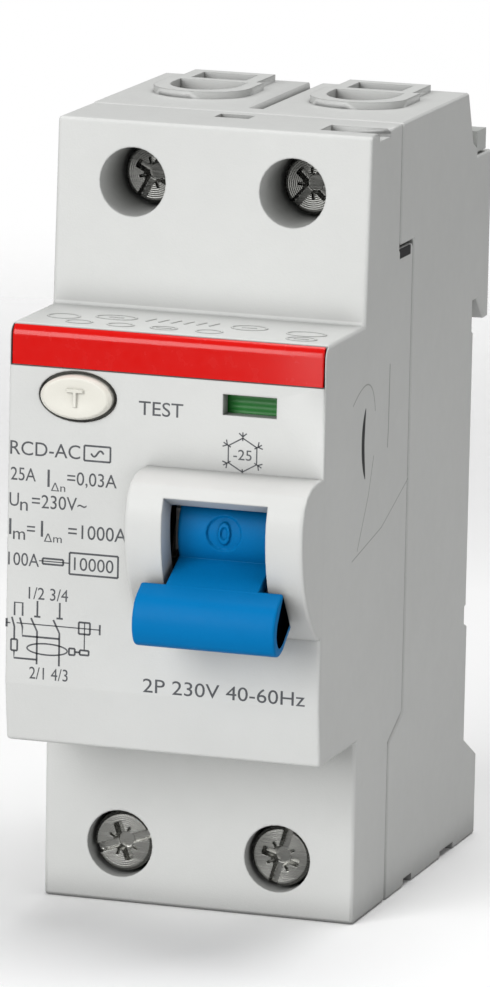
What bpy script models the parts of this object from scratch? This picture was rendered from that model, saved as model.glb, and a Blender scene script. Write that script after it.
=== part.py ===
"""Two-module residual current device for a 35 mm rail, modelled as an assembly.

Metres, +Z up. The front faces -Y and +X is to the right. The origin is the centre of the rail seat:
Y = 0 is the plane that lies on the rail, and Z = 0 is the rail's centre line.
"""

from math import cos, pi, radians, sin

import bmesh
import bpy
from mathutils import Matrix, Vector

MM = 0.001

# Overall sizes
WIDTH = 35.0 * MM
HEIGHT = 85.0 * MM
NOSE_HEIGHT = 45.0 * MM
SHOULDER_DEPTH = 40.3 * MM  # rail seat to terminal face
NOSE_DEPTH = 13.45 * MM  # terminal face to nose face
HOOK_DEPTH = 5.5 * MM  # rear hooks behind the rail seat
RAIL_HEIGHT = 35.0 * MM
RAIL_LIP = 1.0 * MM
POLE_INSET = 8.6 * MM  # terminal axis to the nearest side
TERMINAL_INSET = 6.5 * MM  # screw axis to the nearest end face

# Walls and clearances
WALL = 1.6 * MM
GAP = 0.3 * MM
FIT = 0.15 * MM
CORNER = 0.8 * MM
DRAFT_TOP = 0.9 * MM
DRAFT_BOTTOM = 0.3 * MM

# Parting between the front cover and the rear base
PART_MID_DEPTH = 16.7 * MM
PART_END_DEPTH = 11.8 * MM
PART_STEP = 13.5 * MM  # end face to the step in the parting
PART_LOWER_STEP = 17.5 * MM
PART_SLOPE = 2.4 * MM

# Nose face
FACET_HEIGHT = 6.4 * MM
FACET_LEAN = 0.8 * MM
NOSE_ROUND = 1.3 * MM
STRIPE_HEIGHT = 4.3 * MM
STRIPE_THICKNESS = 0.6 * MM
STRIPE_SIDE = 0.35 * MM
STRIPE_END_DEG = 62.0
STRIPE_SEAT_DEG = 9.0

# Toggle and its bulged surround
TOGGLE_INSET = 9.85 * MM  # middle of the toggle to the right side
TOGGLE_AXIS_DEPTH = 11.6 * MM  # in front of the terminal face
TOGGLE_AXIS_Z = 2.1 * MM
SURROUND_DEPTH = 5.9 * MM  # centre of the bulge's arc, in front of the terminal face
SURROUND_Z = 3.2 * MM
SURROUND_RADIUS = 14.3 * MM
SURROUND_WIDTH = 19.7 * MM
SURROUND_STEP = 0.06 * MM
SURROUND_TOP = 5.3 * MM  # above the arc's centre
SURROUND_WALL = 3.0 * MM
CROWN_WALL = 1.0 * MM
WINDOW_WIDTH = 11.4 * MM
WINDOW_TOP = 6.5 * MM
WINDOW_BOTTOM = -6.1 * MM
WINDOW_LEDGE = 1.2 * MM  # how far the window's top falls from its front to its back
DRUM_RADIUS = 5.1 * MM
PADDLE_WIDTH = 15.6 * MM
AXLE_RADIUS = 1.2 * MM
PIN_RADIUS = 0.9 * MM
SPRING_SEAT = 3.0 * MM
PLATE_DEPTH = 19.0 * MM
FRAME_PLATE = 0.8 * MM

# Test button and contact flag
BUTTON_INSET = 7.74 * MM  # middle of the button to the left side
BUTTON_Z = 15.2 * MM
BUTTON_WIDTH = 7.9 * MM
BUTTON_HEIGHT = 4.7 * MM
BUTTON_PROUD = 0.7 * MM
BUTTON_TRAVEL = 1.5 * MM
BUTTON_CLEARANCE = 0.4 * MM
BUTTON_ROUND = 0.35 * MM
BUTTON_FLANGE = 1.2 * MM  # width of the flange round the cap
FLANGE_THICKNESS = 1.0 * MM
STEM_RADIUS = 1.1 * MM
STEM_LENGTH = 4.0 * MM
MARK_RISE = 0.25 * MM
MARK_LINE = 0.4 * MM
MARK_WIDTH = 1.6 * MM
MARK_HEIGHT = 2.0 * MM
LEAF_SIZE = 6.0 * MM
LEAF_THICKNESS = 0.5 * MM
LEAF_FOOT = 6.0 * MM
RESISTOR_RADIUS = 1.5 * MM
RESISTOR_LENGTH = 7.0 * MM
FLAG_INSET = 8.3 * MM  # middle of the flag to the right side
FLAG_Z = 15.6 * MM
FLAG_WINDOW_WIDTH = 5.9 * MM
FLAG_WINDOW_HEIGHT = 2.2 * MM
FLAG_TRAVEL = 2.6 * MM
FLAG_THICKNESS = 0.8 * MM
FLAG_LAP = 0.6 * MM  # how far the flag runs past its window on each side

# Terminals
WELL_CLEARANCE = 0.4 * MM
WELL_WALL = 1.0 * MM
UPPER_SCREW_DEPTH = 7.6 * MM
LOWER_SCREW_DEPTH = 1.4 * MM
HEAD_RADIUS = 3.3 * MM
HEAD_HEIGHT = 2.6 * MM
HEAD_BEVEL = 0.35 * MM
SLOT_DEPTH = 1.3 * MM
SLOT_WIDTH = 1.1 * MM
CROSS_WIDTH = 1.0 * MM
CROSS_LENGTH = 3.8 * MM
SHANK_RADIUS = 2.5 * MM
SHANK_LENGTH = 7.4 * MM
CAGE_WIDTH = 10.0 * MM
CAGE_HEIGHT = 8.6 * MM
CAGE_WALL = 1.2 * MM
CAGE_NUT = 2.2 * MM
WIRE_ROOM = 7.2 * MM
BAR_WIDTH = 7.0 * MM
BAR_THICKNESS = 1.8 * MM

# Wire-entry collars on the top
COLLAR_RISE = 0.8 * MM
COLLAR_RIM = 1.5 * MM
COLLAR_WIDTH = 10.8 * MM
COLLAR_FRONT_DEPTH = 19.0 * MM  # behind the terminal face
COLLAR_BRIDGE_DEPTH = 28.4 * MM
COLLAR_REAR_DEPTH = 35.0 * MM
COLLAR_REAR_WIDTH = 9.2 * MM
GROOVE_WIDTH = 1.6 * MM
GROOVE_DEPTH = 0.9 * MM
GROOVE_START = 15.0 * MM  # behind the terminal face
COLLAR_ROUND = 4.6 * MM  # how far the collar's round front reaches
BARRIER_THICKNESS = 1.4 * MM
BARRIER_OVERLAP = 3.0 * MM
BAR_END = 3.2 * MM  # where a lower bar ends, below the nose's bottom

# Marks in the top and the foot
REBATE_X = 10.9 * MM
REBATE_START = 3.5 * MM  # behind the terminal face
REBATE_RUN = 3.9 * MM
REBATE_DEPTH = 0.85 * MM
TOP_SLOT_X = -0.3 * MM
TOP_SLOT_WIDTH = 3.8 * MM
TOP_SLOT_START = 7.5 * MM
TOP_SLOT_RUN = 2.4 * MM
TOP_SLOT_DEPTH = 0.8 * MM
FOOT_NOTCHES = ((18.6 * MM, 3.0 * MM, 0.9 * MM), (32.4 * MM, 5.0 * MM, 0.8 * MM))  # start, run, depth

# Rail clips
HOOK_RIB = 5.2 * MM  # width of each fixed hook beside a clip
CLIP_THICKNESS = 2.6 * MM
CLIP_RAISE = 3.0 * MM  # the lower clip's end above the bottom face
HOOK_DROP = 7.5 * MM  # end face down to the top of the hooks
HOOK_THICKNESS = 1.4 * MM
CLIP_HANDLE = 2.3 * MM
CLIP_SPRING_RADIUS = 1.1 * MM
SEAT_RELIEF = 0.5 * MM  # depth of the steps that free the seat's ends
SEAT_MARGIN = 0.8 * MM  # from a hook's tip to the seat's end
HOOK_BITE = 1.2 * MM  # how far a hook laps the rail's lip
FOOT_HEIGHT = 9.2 * MM
FOOT_SLOPE = 2.6 * MM
STEP_BACK = 0.6 * MM
SHOULDER_STEP = 1.7 * MM  # top of the rear's sloped corner
SHOULDER_DROP = 5.7 * MM
SHOULDER_RUN = 3.9 * MM

# Switching mechanism
CARRIER_TRAVEL = 3.4 * MM
CARRIER_DEPTH = 27.0 * MM  # behind the terminal face
CARRIER_Z = 7.0 * MM
CARRIER_SIZE = 4.4 * MM
CONTACT_Z = 19.5 * MM
CONTACT_RADIUS = 1.6 * MM
CONTACT_THICKNESS = 1.2 * MM
ARM_WIDTH = 4.6 * MM
ARM_THICKNESS = 1.2 * MM
LEVER_DEPTH = 12.5 * MM
LEVER_Z = -4.6 * MM
LEVER_REACH = 4.2 * MM
LEVER_DROP = 3.6 * MM
LEVER_WIDTH = 4.0 * MM
LEVER_TAIL = 1.3 * MM
LEVER_CREST = 1.4 * MM
PUSH_ROD = 2.0 * MM
PUSH_ROD_RISE = 3.1 * MM  # above the lever's pin
RELAY_INSET = 7.9 * MM  # middle of the relay to the left side
RELAY_WIDTH = 10.0 * MM
RELAY_DEPTH = 12.0 * MM
RELAY_START = 1.4 * MM  # behind the terminal face
RELAY_CLEARANCE = 0.4 * MM
RELAY_DROP = 6.0 * MM  # its top below the lever's pin
PLUNGER_RADIUS = 1.0 * MM
PLUNGER_BACK = 2.6 * MM  # in front of the lever's pin
PLUNGER_SUNK = 2.4 * MM

# Residual current sensing
RING_Z = -14.5 * MM
RING_DEPTH = 27.0 * MM
RING_INNER = 5.6 * MM
RING_OUTER = 9.2 * MM
RING_HEIGHT = 7.0 * MM
WINDING_WALL = 0.9 * MM
WINDING_DEG = 110.0
CABLE_RADIUS = 1.3 * MM
CABLE_SPREAD = 1.9 * MM  # each conductor's distance from the ring's axis
CABLE_BEND = 5.0 * MM  # how far out each conductor bends before the ring

# Derived planes
TOP = HEIGHT / 2
SIDE = WIDTH / 2
FRONT = -SHOULDER_DEPTH
NOSE = FRONT - NOSE_DEPTH
NOSE_TOP = NOSE_HEIGHT / 2
RAIL_TOP = RAIL_HEIGHT / 2
HOOK_TOP = TOP - HOOK_DROP
FOOT_TOP = TOP - FOOT_HEIGHT
SEAT_HALF = RAIL_TOP - HOOK_BITE - SEAT_MARGIN
PART_HALF_HEIGHT = TOP - PART_STEP
POLE_OFFSET = SIDE - POLE_INSET
TOGGLE_X = SIDE - TOGGLE_INSET
FLAG_X = SIDE - FLAG_INSET
BUTTON_X = -SIDE + BUTTON_INSET
RELAY_X = -SIDE + RELAY_INSET
WELL_RADIUS = HEAD_RADIUS + WELL_CLEARANCE
POLES = (("left", -POLE_OFFSET), ("right", POLE_OFFSET))
PART_MID = FRONT + PART_MID_DEPTH
PART_END = FRONT + PART_END_DEPTH
AXIS_Y = FRONT - TOGGLE_AXIS_DEPTH
SURROUND_Y = FRONT - SURROUND_DEPTH
TERMINAL_Z = TOP - TERMINAL_INSET
NOSE_INNER = NOSE + WALL
CARRIER_Y = FRONT + CARRIER_DEPTH
RING_Y = FRONT + RING_DEPTH
PAST = 2.0 * MM  # how far a cutter runs past the face it opens

ROUND_SIDES = 32
SMALL_SIDES = 16

PLASTIC = (0.60, 0.61, 0.60, 1.0)


# Scene and materials


def clear_scene():
    """Removes every object that is in the scene."""
    for obj in list(bpy.data.objects):
        bpy.data.objects.remove(obj, do_unlink=True)


def new_collection(name, hidden=False):
    """A collection under the scene's own, left out of the render when it is hidden."""
    made = bpy.data.collections.new(name)
    bpy.context.scene.collection.children.link(made)
    made.hide_render = hidden
    return made


def material(name, color, roughness=0.5, metallic=0.0):
    """A Principled material of the given colour, made once for each name."""
    found = bpy.data.materials.get(name)
    if found:
        return found
    made = bpy.data.materials.new(name)
    made.use_nodes = True
    shader = made.node_tree.nodes["Principled BSDF"]
    shader.inputs["Base Color"].default_value = color
    shader.inputs["Roughness"].default_value = roughness
    shader.inputs["Metallic"].default_value = metallic
    made.diffuse_color = color
    return made


clear_scene()
PARTS = new_collection("residual_current_device")
CUTTERS = new_collection("cutters", hidden=True)

HOUSING = material("housing_grey", PLASTIC, 0.55)
CLIP_GREY = material("clip_grey", (0.50, 0.51, 0.50, 1.0), 0.5)
STRIPE_RED = material("stripe_red", (0.66, 0.01, 0.01, 1.0), 0.2)
BUTTON_WHITE = material("button_white", (0.78, 0.76, 0.70, 1.0), 0.4)
TOGGLE_BLUE = material("toggle_blue", (0.0, 0.18, 0.50, 1.0), 0.35)
FLAG_GREEN = material("flag_green", (0.01, 0.15, 0.03, 1.0), 0.5)
STEEL = material("zinc_steel", (0.55, 0.55, 0.53, 1.0), 0.3, 1.0)
COPPER = material("copper", (0.72, 0.35, 0.20, 1.0), 0.35, 1.0)
BRASS = material("brass", (0.75, 0.58, 0.28, 1.0), 0.35, 1.0)
SILVER = material("silver_contact", (0.80, 0.80, 0.78, 1.0), 0.3, 1.0)
BLACK = material("black_plastic", (0.03, 0.03, 0.03, 1.0), 0.5)
CORE_BLUE = material("core_case_blue", (0.05, 0.12, 0.28, 1.0), 0.5)
ENAMEL = material("enamelled_wire", (0.45, 0.14, 0.05, 1.0), 0.35)
CREAM = material("resistor_body", (0.62, 0.55, 0.38, 1.0), 0.6)


# Shape helpers


def place(name, mesh, finish, cutter=False):
    """An object for this mesh, in the parts' collection or, as a cutter, in the hidden one."""
    obj = bpy.data.objects.new(name, mesh)
    if cutter:
        CUTTERS.objects.link(obj)
        obj.hide_render = True
        obj.display_type = "WIRE"
    else:
        PARTS.objects.link(obj)
        mesh.materials.append(finish)
    return obj


def block(name, x, y, z, finish=None):
    """A box between two limits along each axis. It is a cutter when it has no finish."""
    size = Vector((x[1] - x[0], y[1] - y[0], z[1] - z[0]))
    middle = Vector((x[0] + x[1], y[0] + y[1], z[0] + z[1])) / 2
    bm = bmesh.new()
    matrix = Matrix.Translation(middle) @ Matrix.Diagonal((*size, 1.0))
    bmesh.ops.create_cube(bm, size=1.0, matrix=matrix)
    mesh = bpy.data.meshes.new(name)
    bm.to_mesh(mesh)
    bm.free()
    return place(name, mesh, finish, cutter=finish is None)


AXIS_TURNS = {
    "X": Matrix(((0, 0, 1), (1, 0, 0), (0, 1, 0))).to_4x4(),
    "Y": Matrix(((1, 0, 0), (0, 0, -1), (0, 1, 0))).to_4x4(),
    "Z": Matrix.Identity(4),
}


def rod(name, center, axis, radius, length, finish=None, sides=ROUND_SIDES, tip=None):
    """A cylinder, or a cone with its own tip radius, centred on a point and lying along an axis."""
    bm = bmesh.new()
    matrix = Matrix.Translation(center) @ AXIS_TURNS[axis]
    bmesh.ops.create_cone(
        bm,
        cap_ends=True,
        segments=sides,
        radius1=radius,
        radius2=radius if tip is None else tip,
        depth=length,
        matrix=matrix,
    )
    mesh = bpy.data.meshes.new(name)
    bm.to_mesh(mesh)
    bm.free()
    mesh.shade_smooth()
    mesh.set_sharp_from_angle(angle=radians(40))
    return place(name, mesh, finish, cutter=finish is None)


def curve_to_mesh(curve_obj, name, finish):
    """The curve's evaluated mesh with its caps welded, as an object that takes the curve's place."""
    graph = bpy.context.evaluated_depsgraph_get()
    mesh = bpy.data.meshes.new_from_object(curve_obj.evaluated_get(graph))
    bm = bmesh.new()
    bm.from_mesh(mesh)
    bmesh.ops.remove_doubles(bm, verts=bm.verts, dist=1e-6)
    flat = radians(0.5)
    bmesh.ops.dissolve_limit(bm, angle_limit=flat, verts=bm.verts, edges=bm.edges)
    bmesh.ops.transform(bm, matrix=curve_obj.matrix_world, verts=bm.verts)
    bmesh.ops.recalc_face_normals(bm, faces=bm.faces)
    bm.to_mesh(mesh)
    bm.free()
    mesh.name = name
    mesh.materials.clear()
    curve = curve_obj.data
    bpy.data.objects.remove(curve_obj, do_unlink=True)
    bpy.data.curves.remove(curve)
    return place(name, mesh, finish, cutter=finish is None)


def outline_curve(name, outlines):
    """A flat 2D curve of closed outlines, where an outline inside another is a hole."""
    curve = bpy.data.curves.new(name + "_outline", "CURVE")
    curve.dimensions = "2D"
    curve.fill_mode = "BOTH"
    for outline in outlines:
        spline = curve.splines.new("POLY")
        spline.points.add(len(outline) - 1)
        for point, (u, v) in zip(spline.points, outline):
            point.co = (u, v, 0.0, 1.0)
        spline.use_cyclic_u = True
    return curve


def prism(name, outline, axis, span, finish=None, holes=()):
    """A flat outline drawn out along an axis. Its pairs are (y, z) for X, (x, z) for Y and (x, y) for Z."""
    curve = outline_curve(name, [outline, *holes])
    curve.extrude = abs(span[1] - span[0]) / 2
    obj = bpy.data.objects.new(name + "_curve", curve)
    bpy.context.scene.collection.objects.link(obj)
    middle = (span[0] + span[1]) / 2
    offset = {"X": (middle, 0, 0), "Y": (0, middle, 0), "Z": (0, 0, middle)}[axis]
    obj.matrix_world = Matrix.Translation(offset) @ AXIS_TURNS[axis]
    bpy.context.view_layer.update()
    return curve_to_mesh(obj, name, finish)


def turned(name, profile, center, axis, finish=None, steps=ROUND_SIDES, turn=2 * pi):
    """A profile of (radius, height) pairs turned about an axis, from the top of its outer side down."""
    mesh = bpy.data.meshes.new(name)
    points = [(radius, 0.0, height) for radius, height in profile]
    count = len(points)
    closed = turn < 2 * pi or profile[0][0] > 0
    edges = [(i, (i + 1) % count) for i in range(count if closed else count - 1)]
    mesh.from_pydata(points, edges, [])
    obj = place(name, mesh, finish, cutter=finish is None)
    screw = obj.modifiers.new("turn", "SCREW")
    screw.angle = turn
    screw.steps = screw.render_steps = steps
    screw.use_merge_vertices = turn >= 2 * pi
    screw.merge_threshold = 1e-6
    screw.use_smooth_shade = True
    obj.matrix_world = Matrix.Translation(center) @ AXIS_TURNS[axis]
    return obj


def wire(name, points, radius, finish, resolution=2):
    """A round wire through these points, with filled caps."""
    curve = bpy.data.curves.new(name, "CURVE")
    curve.dimensions = "3D"
    curve.bevel_depth = radius
    curve.bevel_resolution = resolution
    curve.use_fill_caps = True
    spline = curve.splines.new("POLY")
    spline.points.add(len(points) - 1)
    for point, co in zip(spline.points, points):
        point.co = (*co, 1.0)
    obj = bpy.data.objects.new(name, curve)
    curve.materials.append(finish)
    PARTS.objects.link(obj)
    return obj


def helix(center, axis, radius, length, turns, per_turn=9):
    """Points of a coil that starts at its centre point and runs along an axis."""
    count = int(turns * per_turn)
    made = []
    for i in range(count + 1):
        angle = 2 * pi * i / per_turn
        along = length * i / count
        flat = Vector((radius * cos(angle), radius * sin(angle), along))
        made.append(tuple(Vector(center) + AXIS_TURNS[axis].to_3x3() @ flat))
    return made


def smooth_path(points, between=3):
    """A Catmull-Rom curve through these points."""
    ends = [points[0], *points, points[-1]]
    made = []
    for a, b, c, d in zip(ends, ends[1:], ends[2:], ends[3:]):
        for step in range(between):
            t = step / between
            made.append(
                tuple(
                    0.5 * (2 * q + (r - p) * t + (2 * p - 5 * q + 4 * r - s) * t * t)
                    + 0.5 * (3 * q - p - 3 * r + s) * t**3
                    for p, q, r, s in zip(a, b, c, d)
                )
            )
    return [*made, tuple(points[-1])]


def boolean(target, other, operation):
    """Adds an exact Boolean of another mesh object to a target."""
    step = target.modifiers.new(other.name, "BOOLEAN")
    step.operation = operation
    step.solver = "EXACT"
    step.object = other


def cut(target, *others):
    """Cuts each of these cutters out of a target."""
    for other in others:
        boolean(target, other, "DIFFERENCE")


def join(target, *others):
    """Makes each of these helpers one body with a target."""
    for other in others:
        boolean(target, other, "UNION")


def soften(obj, width, segments=2, angle=30.0):
    """Rounds every edge that is sharper than an angle."""
    bevel = obj.modifiers.new("soften", "BEVEL")
    bevel.width = width
    bevel.segments = segments
    bevel.limit_method = "ANGLE"
    bevel.angle_limit = radians(angle)
    bevel.use_clamp_overlap = True


def around(center, *objs):
    """Parents pieces that turn or slide together to an empty at their joint, where they already stand."""
    empty = bpy.data.objects.new(objs[0].name + "_joint", None)
    PARTS.objects.link(empty)
    empty.location = center
    bpy.context.view_layer.update()
    for obj in objs:
        obj.parent = empty
        obj.matrix_parent_inverse = empty.matrix_world.inverted()


def arc(center, radius, start_deg, end_deg, steps):
    """Points along an arc. Angles are counted from -Y towards +Z, so pairs are (y, z)."""
    made = []
    for i in range(steps + 1):
        angle = radians(start_deg + (end_deg - start_deg) * i / steps)
        made.append((center[0] - radius * cos(angle), center[1] + radius * sin(angle)))
    return made


def ellipse(center, width, height, sides=ROUND_SIDES):
    """Points of an ellipse around a centre."""
    turns = [2 * pi * i / sides for i in range(sides)]
    return [(center[0] + width / 2 * cos(a), center[1] + height / 2 * sin(a)) for a in turns]


def rectangle(center, width, height):
    """The four corners of a rectangle around a centre."""
    u, v, du, dv = *center, width / 2, height / 2
    return [(u - du, v - dv), (u + du, v - dv), (u + du, v + dv), (u - du, v + dv)]


# Housing


def cover_outline(inset=0.0, past=0.0):
    """Side outline of the front cover as (y, z), drawn in by a wall and run on behind the parting."""
    i = inset
    nose_round = [] if inset else arc((NOSE + NOSE_ROUND, NOSE_TOP - NOSE_ROUND), NOSE_ROUND, 0, 90, 4)
    back = PART_MID + past
    end = PART_END + past
    lower = -TOP + PART_LOWER_STEP
    lower_slope = [(back, lower + PART_SLOPE), (end, lower)]
    outline = [
        (end, -TOP + i),
        (FRONT + DRAFT_BOTTOM + i, -TOP + i),
        (FRONT + i, -NOSE_TOP + i),
        (NOSE + FACET_LEAN + i, -NOSE_TOP + i),
        (NOSE + i, -NOSE_TOP + FACET_HEIGHT),
        *(nose_round or [(NOSE + i, NOSE_TOP - i)]),
        (FRONT + i, NOSE_TOP - i),
        (FRONT + DRAFT_TOP + i, TOP - i),
        (end, TOP - i),
    ]
    if inset:
        return outline
    return [*outline, (end, PART_HALF_HEIGHT), (back, PART_HALF_HEIGHT), *lower_slope]


def surround_outline(front_wall=0.0, crown_wall=0.0):
    """Side outline of the toggle's bulged surround as (y, z), or of its hollow when walls are given."""
    center = (SURROUND_Y, SURROUND_Z)
    inside = NOSE_INNER + PAST if front_wall else NOSE + WALL / 2
    top = SURROUND_Z + SURROUND_TOP - crown_wall
    front = arc(center, SURROUND_RADIUS - front_wall, -56, 6, 12)
    start, end = front[-1], (NOSE - 1.6 * MM + front_wall, top)
    control = (start[0] + 0.5 * MM, top)
    crown = []
    for step in (0.25, 0.5, 0.75, 1.0):
        a, b, c = (1 - step) ** 2, 2 * step * (1 - step), step**2
        crown.append(tuple(a * p + b * q + c * r for p, q, r in zip(start, control, end)))
    return [(inside, front[0][1]), *front, *crown, (inside, top)]


def surround_span(inset=0.0):
    """The surround's limits along X: its right side lies just inside the housing's."""
    return (SIDE - SURROUND_WIDTH + inset, SIDE - SURROUND_STEP - inset)


def well(name, pole_x, z, depth):
    """The tube that leads a screwdriver to a terminal screw, as a helper, and its bore, as a cutter."""
    back = FRONT + depth + HEAD_HEIGHT
    span = (FRONT + DRAFT_TOP + WALL / 2, back)
    tube = rod(
        f"help_{name}_tube",
        (pole_x, sum(span) / 2, z),
        "Y",
        WELL_RADIUS + WELL_WALL,
        span[1] - span[0],
    )
    bore_span = (FRONT - PAST, back + PAST)
    middle = (pole_x, sum(bore_span) / 2, z)
    bore = rod(f"cut_{name}_bore", middle, "Y", WELL_RADIUS, bore_span[1] - bore_span[0])
    return tube, bore


def terminals():
    """(name, x, z, screw depth, sign of z) of the four terminals."""
    return [
        ("upper_left", -POLE_OFFSET, TERMINAL_Z, UPPER_SCREW_DEPTH, 1),
        ("upper_right", POLE_OFFSET, TERMINAL_Z, UPPER_SCREW_DEPTH, 1),
        ("lower_left", -POLE_OFFSET, -TERMINAL_Z, LOWER_SCREW_DEPTH, -1),
        ("lower_right", POLE_OFFSET, -TERMINAL_Z, LOWER_SCREW_DEPTH, -1),
    ]


def front_cover():
    """The front shell: terminal faces, nose, bulged toggle surround, screw wells and openings."""
    cover = prism("front_cover", cover_outline(), "X", (-SIDE, SIDE), HOUSING)
    soften(cover, CORNER / 2)
    hollow = prism("cut_cover_hollow", cover_outline(WALL, PAST * 4), "X", (-SIDE + WALL, SIDE - WALL))
    cut(cover, hollow)
    bulge = prism("help_surround", surround_outline(), "X", surround_span())
    soften(bulge, CORNER / 2)
    join(cover, bulge)
    room = surround_outline(SURROUND_WALL, CROWN_WALL)
    cut(cover, prism("cut_surround_hollow", room, "X", surround_span(WALL)))
    for name, x, z, depth, _ in terminals():
        tube, bore = well(name, x, z, depth)
        join(cover, tube)
        cut(cover, bore)
    deep = (NOSE - PAST, NOSE_INNER + PAST)
    button_hole = ellipse(
        (BUTTON_X, BUTTON_Z), BUTTON_WIDTH + 2 * BUTTON_CLEARANCE, BUTTON_HEIGHT + 2 * BUTTON_CLEARANCE
    )
    flag_hole = rectangle((FLAG_X, FLAG_Z), FLAG_WINDOW_WIDTH, FLAG_WINDOW_HEIGHT)
    half = WINDOW_WIDTH / 2
    skin = SURROUND_Y - SURROUND_RADIUS
    window_outline = [
        (skin - PAST, WINDOW_BOTTOM),
        (skin - PAST, WINDOW_TOP),
        (skin + 0.4 * MM, WINDOW_TOP),
        (skin + SURROUND_WALL, WINDOW_TOP - WINDOW_LEDGE),
        (NOSE_INNER + PAST, WINDOW_TOP - WINDOW_LEDGE),
        (NOSE_INNER + PAST, WINDOW_BOTTOM),
    ]
    window = prism("cut_toggle_window", window_outline, "X", (TOGGLE_X - half, TOGGLE_X + half))
    stripe_half = SIDE - STRIPE_SIDE + FIT
    cut(
        cover,
        prism("cut_button_hole", button_hole, "Y", deep),
        prism("cut_flag_window", flag_hole, "Y", deep),
        window,
        prism("cut_stripe_seat", stripe_outline(FIT), "X", (-stripe_half, stripe_half)),
    )
    corner_rebate = block(
        "cut_corner_rebate",
        (REBATE_X, SIDE + PAST),
        (FRONT + REBATE_START, FRONT + REBATE_START + REBATE_RUN),
        (TOP - REBATE_DEPTH, TOP + PAST),
    )
    top_slot = block(
        "cut_top_slot",
        (TOP_SLOT_X - TOP_SLOT_WIDTH / 2, TOP_SLOT_X + TOP_SLOT_WIDTH / 2),
        (FRONT + TOP_SLOT_START, FRONT + TOP_SLOT_START + TOP_SLOT_RUN),
        (TOP - TOP_SLOT_DEPTH, TOP + PAST),
    )
    cut(cover, corner_rebate, top_slot)
    return cover


def stripe_outline(grow=0.0):
    """Side outline of the red stripe round the nose's top edge. It grows into its seat in the cover."""
    center = (NOSE + NOSE_ROUND, NOSE_TOP - NOSE_ROUND)
    end = STRIPE_END_DEG + (STRIPE_SEAT_DEG if grow else 0)
    outer = arc(center, NOSE_ROUND + (PAST if grow else 0), 0, end, 4)
    inside = arc(center, NOSE_ROUND - STRIPE_THICKNESS - grow, end, 0, 4)
    bottom = NOSE_TOP - STRIPE_HEIGHT - grow
    return [(outer[0][0], bottom), *outer, *inside, (inside[-1][0], bottom)]


def red_stripe():
    """The glossy coloured stripe across the nose's rounded top edge."""
    return prism(
        "red_stripe", stripe_outline(), "X", (-SIDE + STRIPE_SIDE, SIDE - STRIPE_SIDE), STRIPE_RED
    )


def base_outline(inset=0.0, past=0.0):
    """Side outline of the rear base as (y, z), with its hooks, foot and rail seat."""
    if inset:
        front = PART_END - past
        return [
            (front, -TOP + inset),
            (-inset, -TOP + inset),
            (-inset, HOOK_TOP - 1.0 * MM),
            (-SHOULDER_STEP - inset, TOP - SHOULDER_DROP - 0.6 * MM),
            (-SHOULDER_RUN - inset, TOP - inset),
            (front, TOP - inset),
        ]
    end, mid = PART_END + GAP, PART_MID + GAP
    slot = RAIL_LIP + GAP
    lower = -TOP + PART_LOWER_STEP
    return [
        (end, -TOP),
        (HOOK_DEPTH, -TOP),
        (HOOK_DEPTH, -FOOT_TOP),
        (STEP_BACK, -FOOT_TOP + FOOT_SLOPE),
        (STEP_BACK, -RAIL_TOP - FIT),
        (-SEAT_RELIEF, -RAIL_TOP - FIT),
        (-SEAT_RELIEF, -SEAT_HALF),
        (0.0, -SEAT_HALF),
        (0.0, SEAT_HALF),
        (-SEAT_RELIEF, SEAT_HALF),
        (-SEAT_RELIEF, RAIL_TOP + HOOK_THICKNESS),
        (slot, RAIL_TOP + HOOK_THICKNESS),
        (HOOK_DEPTH - HOOK_THICKNESS, RAIL_TOP - HOOK_BITE),
        (HOOK_DEPTH, RAIL_TOP - HOOK_BITE),
        (HOOK_DEPTH, HOOK_TOP),
        (0.0, HOOK_TOP),
        (0.0, TOP - SHOULDER_DROP - 0.9 * MM),
        (-SHOULDER_STEP, TOP - SHOULDER_DROP),
        (-SHOULDER_RUN, TOP),
        (end, TOP),
        (end, PART_HALF_HEIGHT + GAP),
        (mid, PART_HALF_HEIGHT + GAP),
        (mid, lower + PART_SLOPE),
        (end, lower),
    ]


def collar_front(shrink, pole_x):
    """The round front of one wire-entry collar as (x, y), drawn in by a rim."""
    half = COLLAR_WIDTH / 2 - shrink
    front = FRONT + COLLAR_FRONT_DEPTH + shrink
    nose = []
    for i in range(13):
        angle = pi * i / 12
        nose.append((pole_x - half * cos(angle), front + COLLAR_ROUND * (1 - sin(angle))))
    return nose


def collars(base):
    """Raises a rim round both wire entries of each pole on the top and opens the entries."""
    bridge, rear = FRONT + COLLAR_BRIDGE_DEPTH, FRONT + COLLAR_REAR_DEPTH
    half, rear_half = COLLAR_WIDTH / 2, COLLAR_REAR_WIDTH / 2
    deep = (TOP - WALL - PAST, TOP + COLLAR_RISE + PAST)
    for side, pole_x in POLES:
        rim = [
            *collar_front(0.0, pole_x),
            (pole_x + half, bridge),
            (pole_x + rear_half, bridge),
            (pole_x + rear_half, rear),
            (pole_x - rear_half, rear),
            (pole_x - rear_half, bridge),
            (pole_x - half, bridge),
        ]
        join(base, prism(f"help_collar_{side}", rim, "Z", (TOP - WALL / 2, TOP + COLLAR_RISE)))
        entry = [
            *collar_front(COLLAR_RIM, pole_x),
            (pole_x + half - COLLAR_RIM, bridge - COLLAR_RIM / 2),
            (pole_x - half + COLLAR_RIM, bridge - COLLAR_RIM / 2),
        ]
        fork_front, fork_back = bridge + COLLAR_RIM / 2, rear - COLLAR_RIM
        middle = (pole_x, (fork_front + fork_back) / 2)
        fork = rectangle(middle, 2 * (rear_half - COLLAR_RIM), fork_back - fork_front)
        cut(base, prism(f"cut_entry_{side}", entry, "Z", deep))
        cut(base, prism(f"cut_fork_entry_{side}", fork, "Z", deep))


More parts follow.
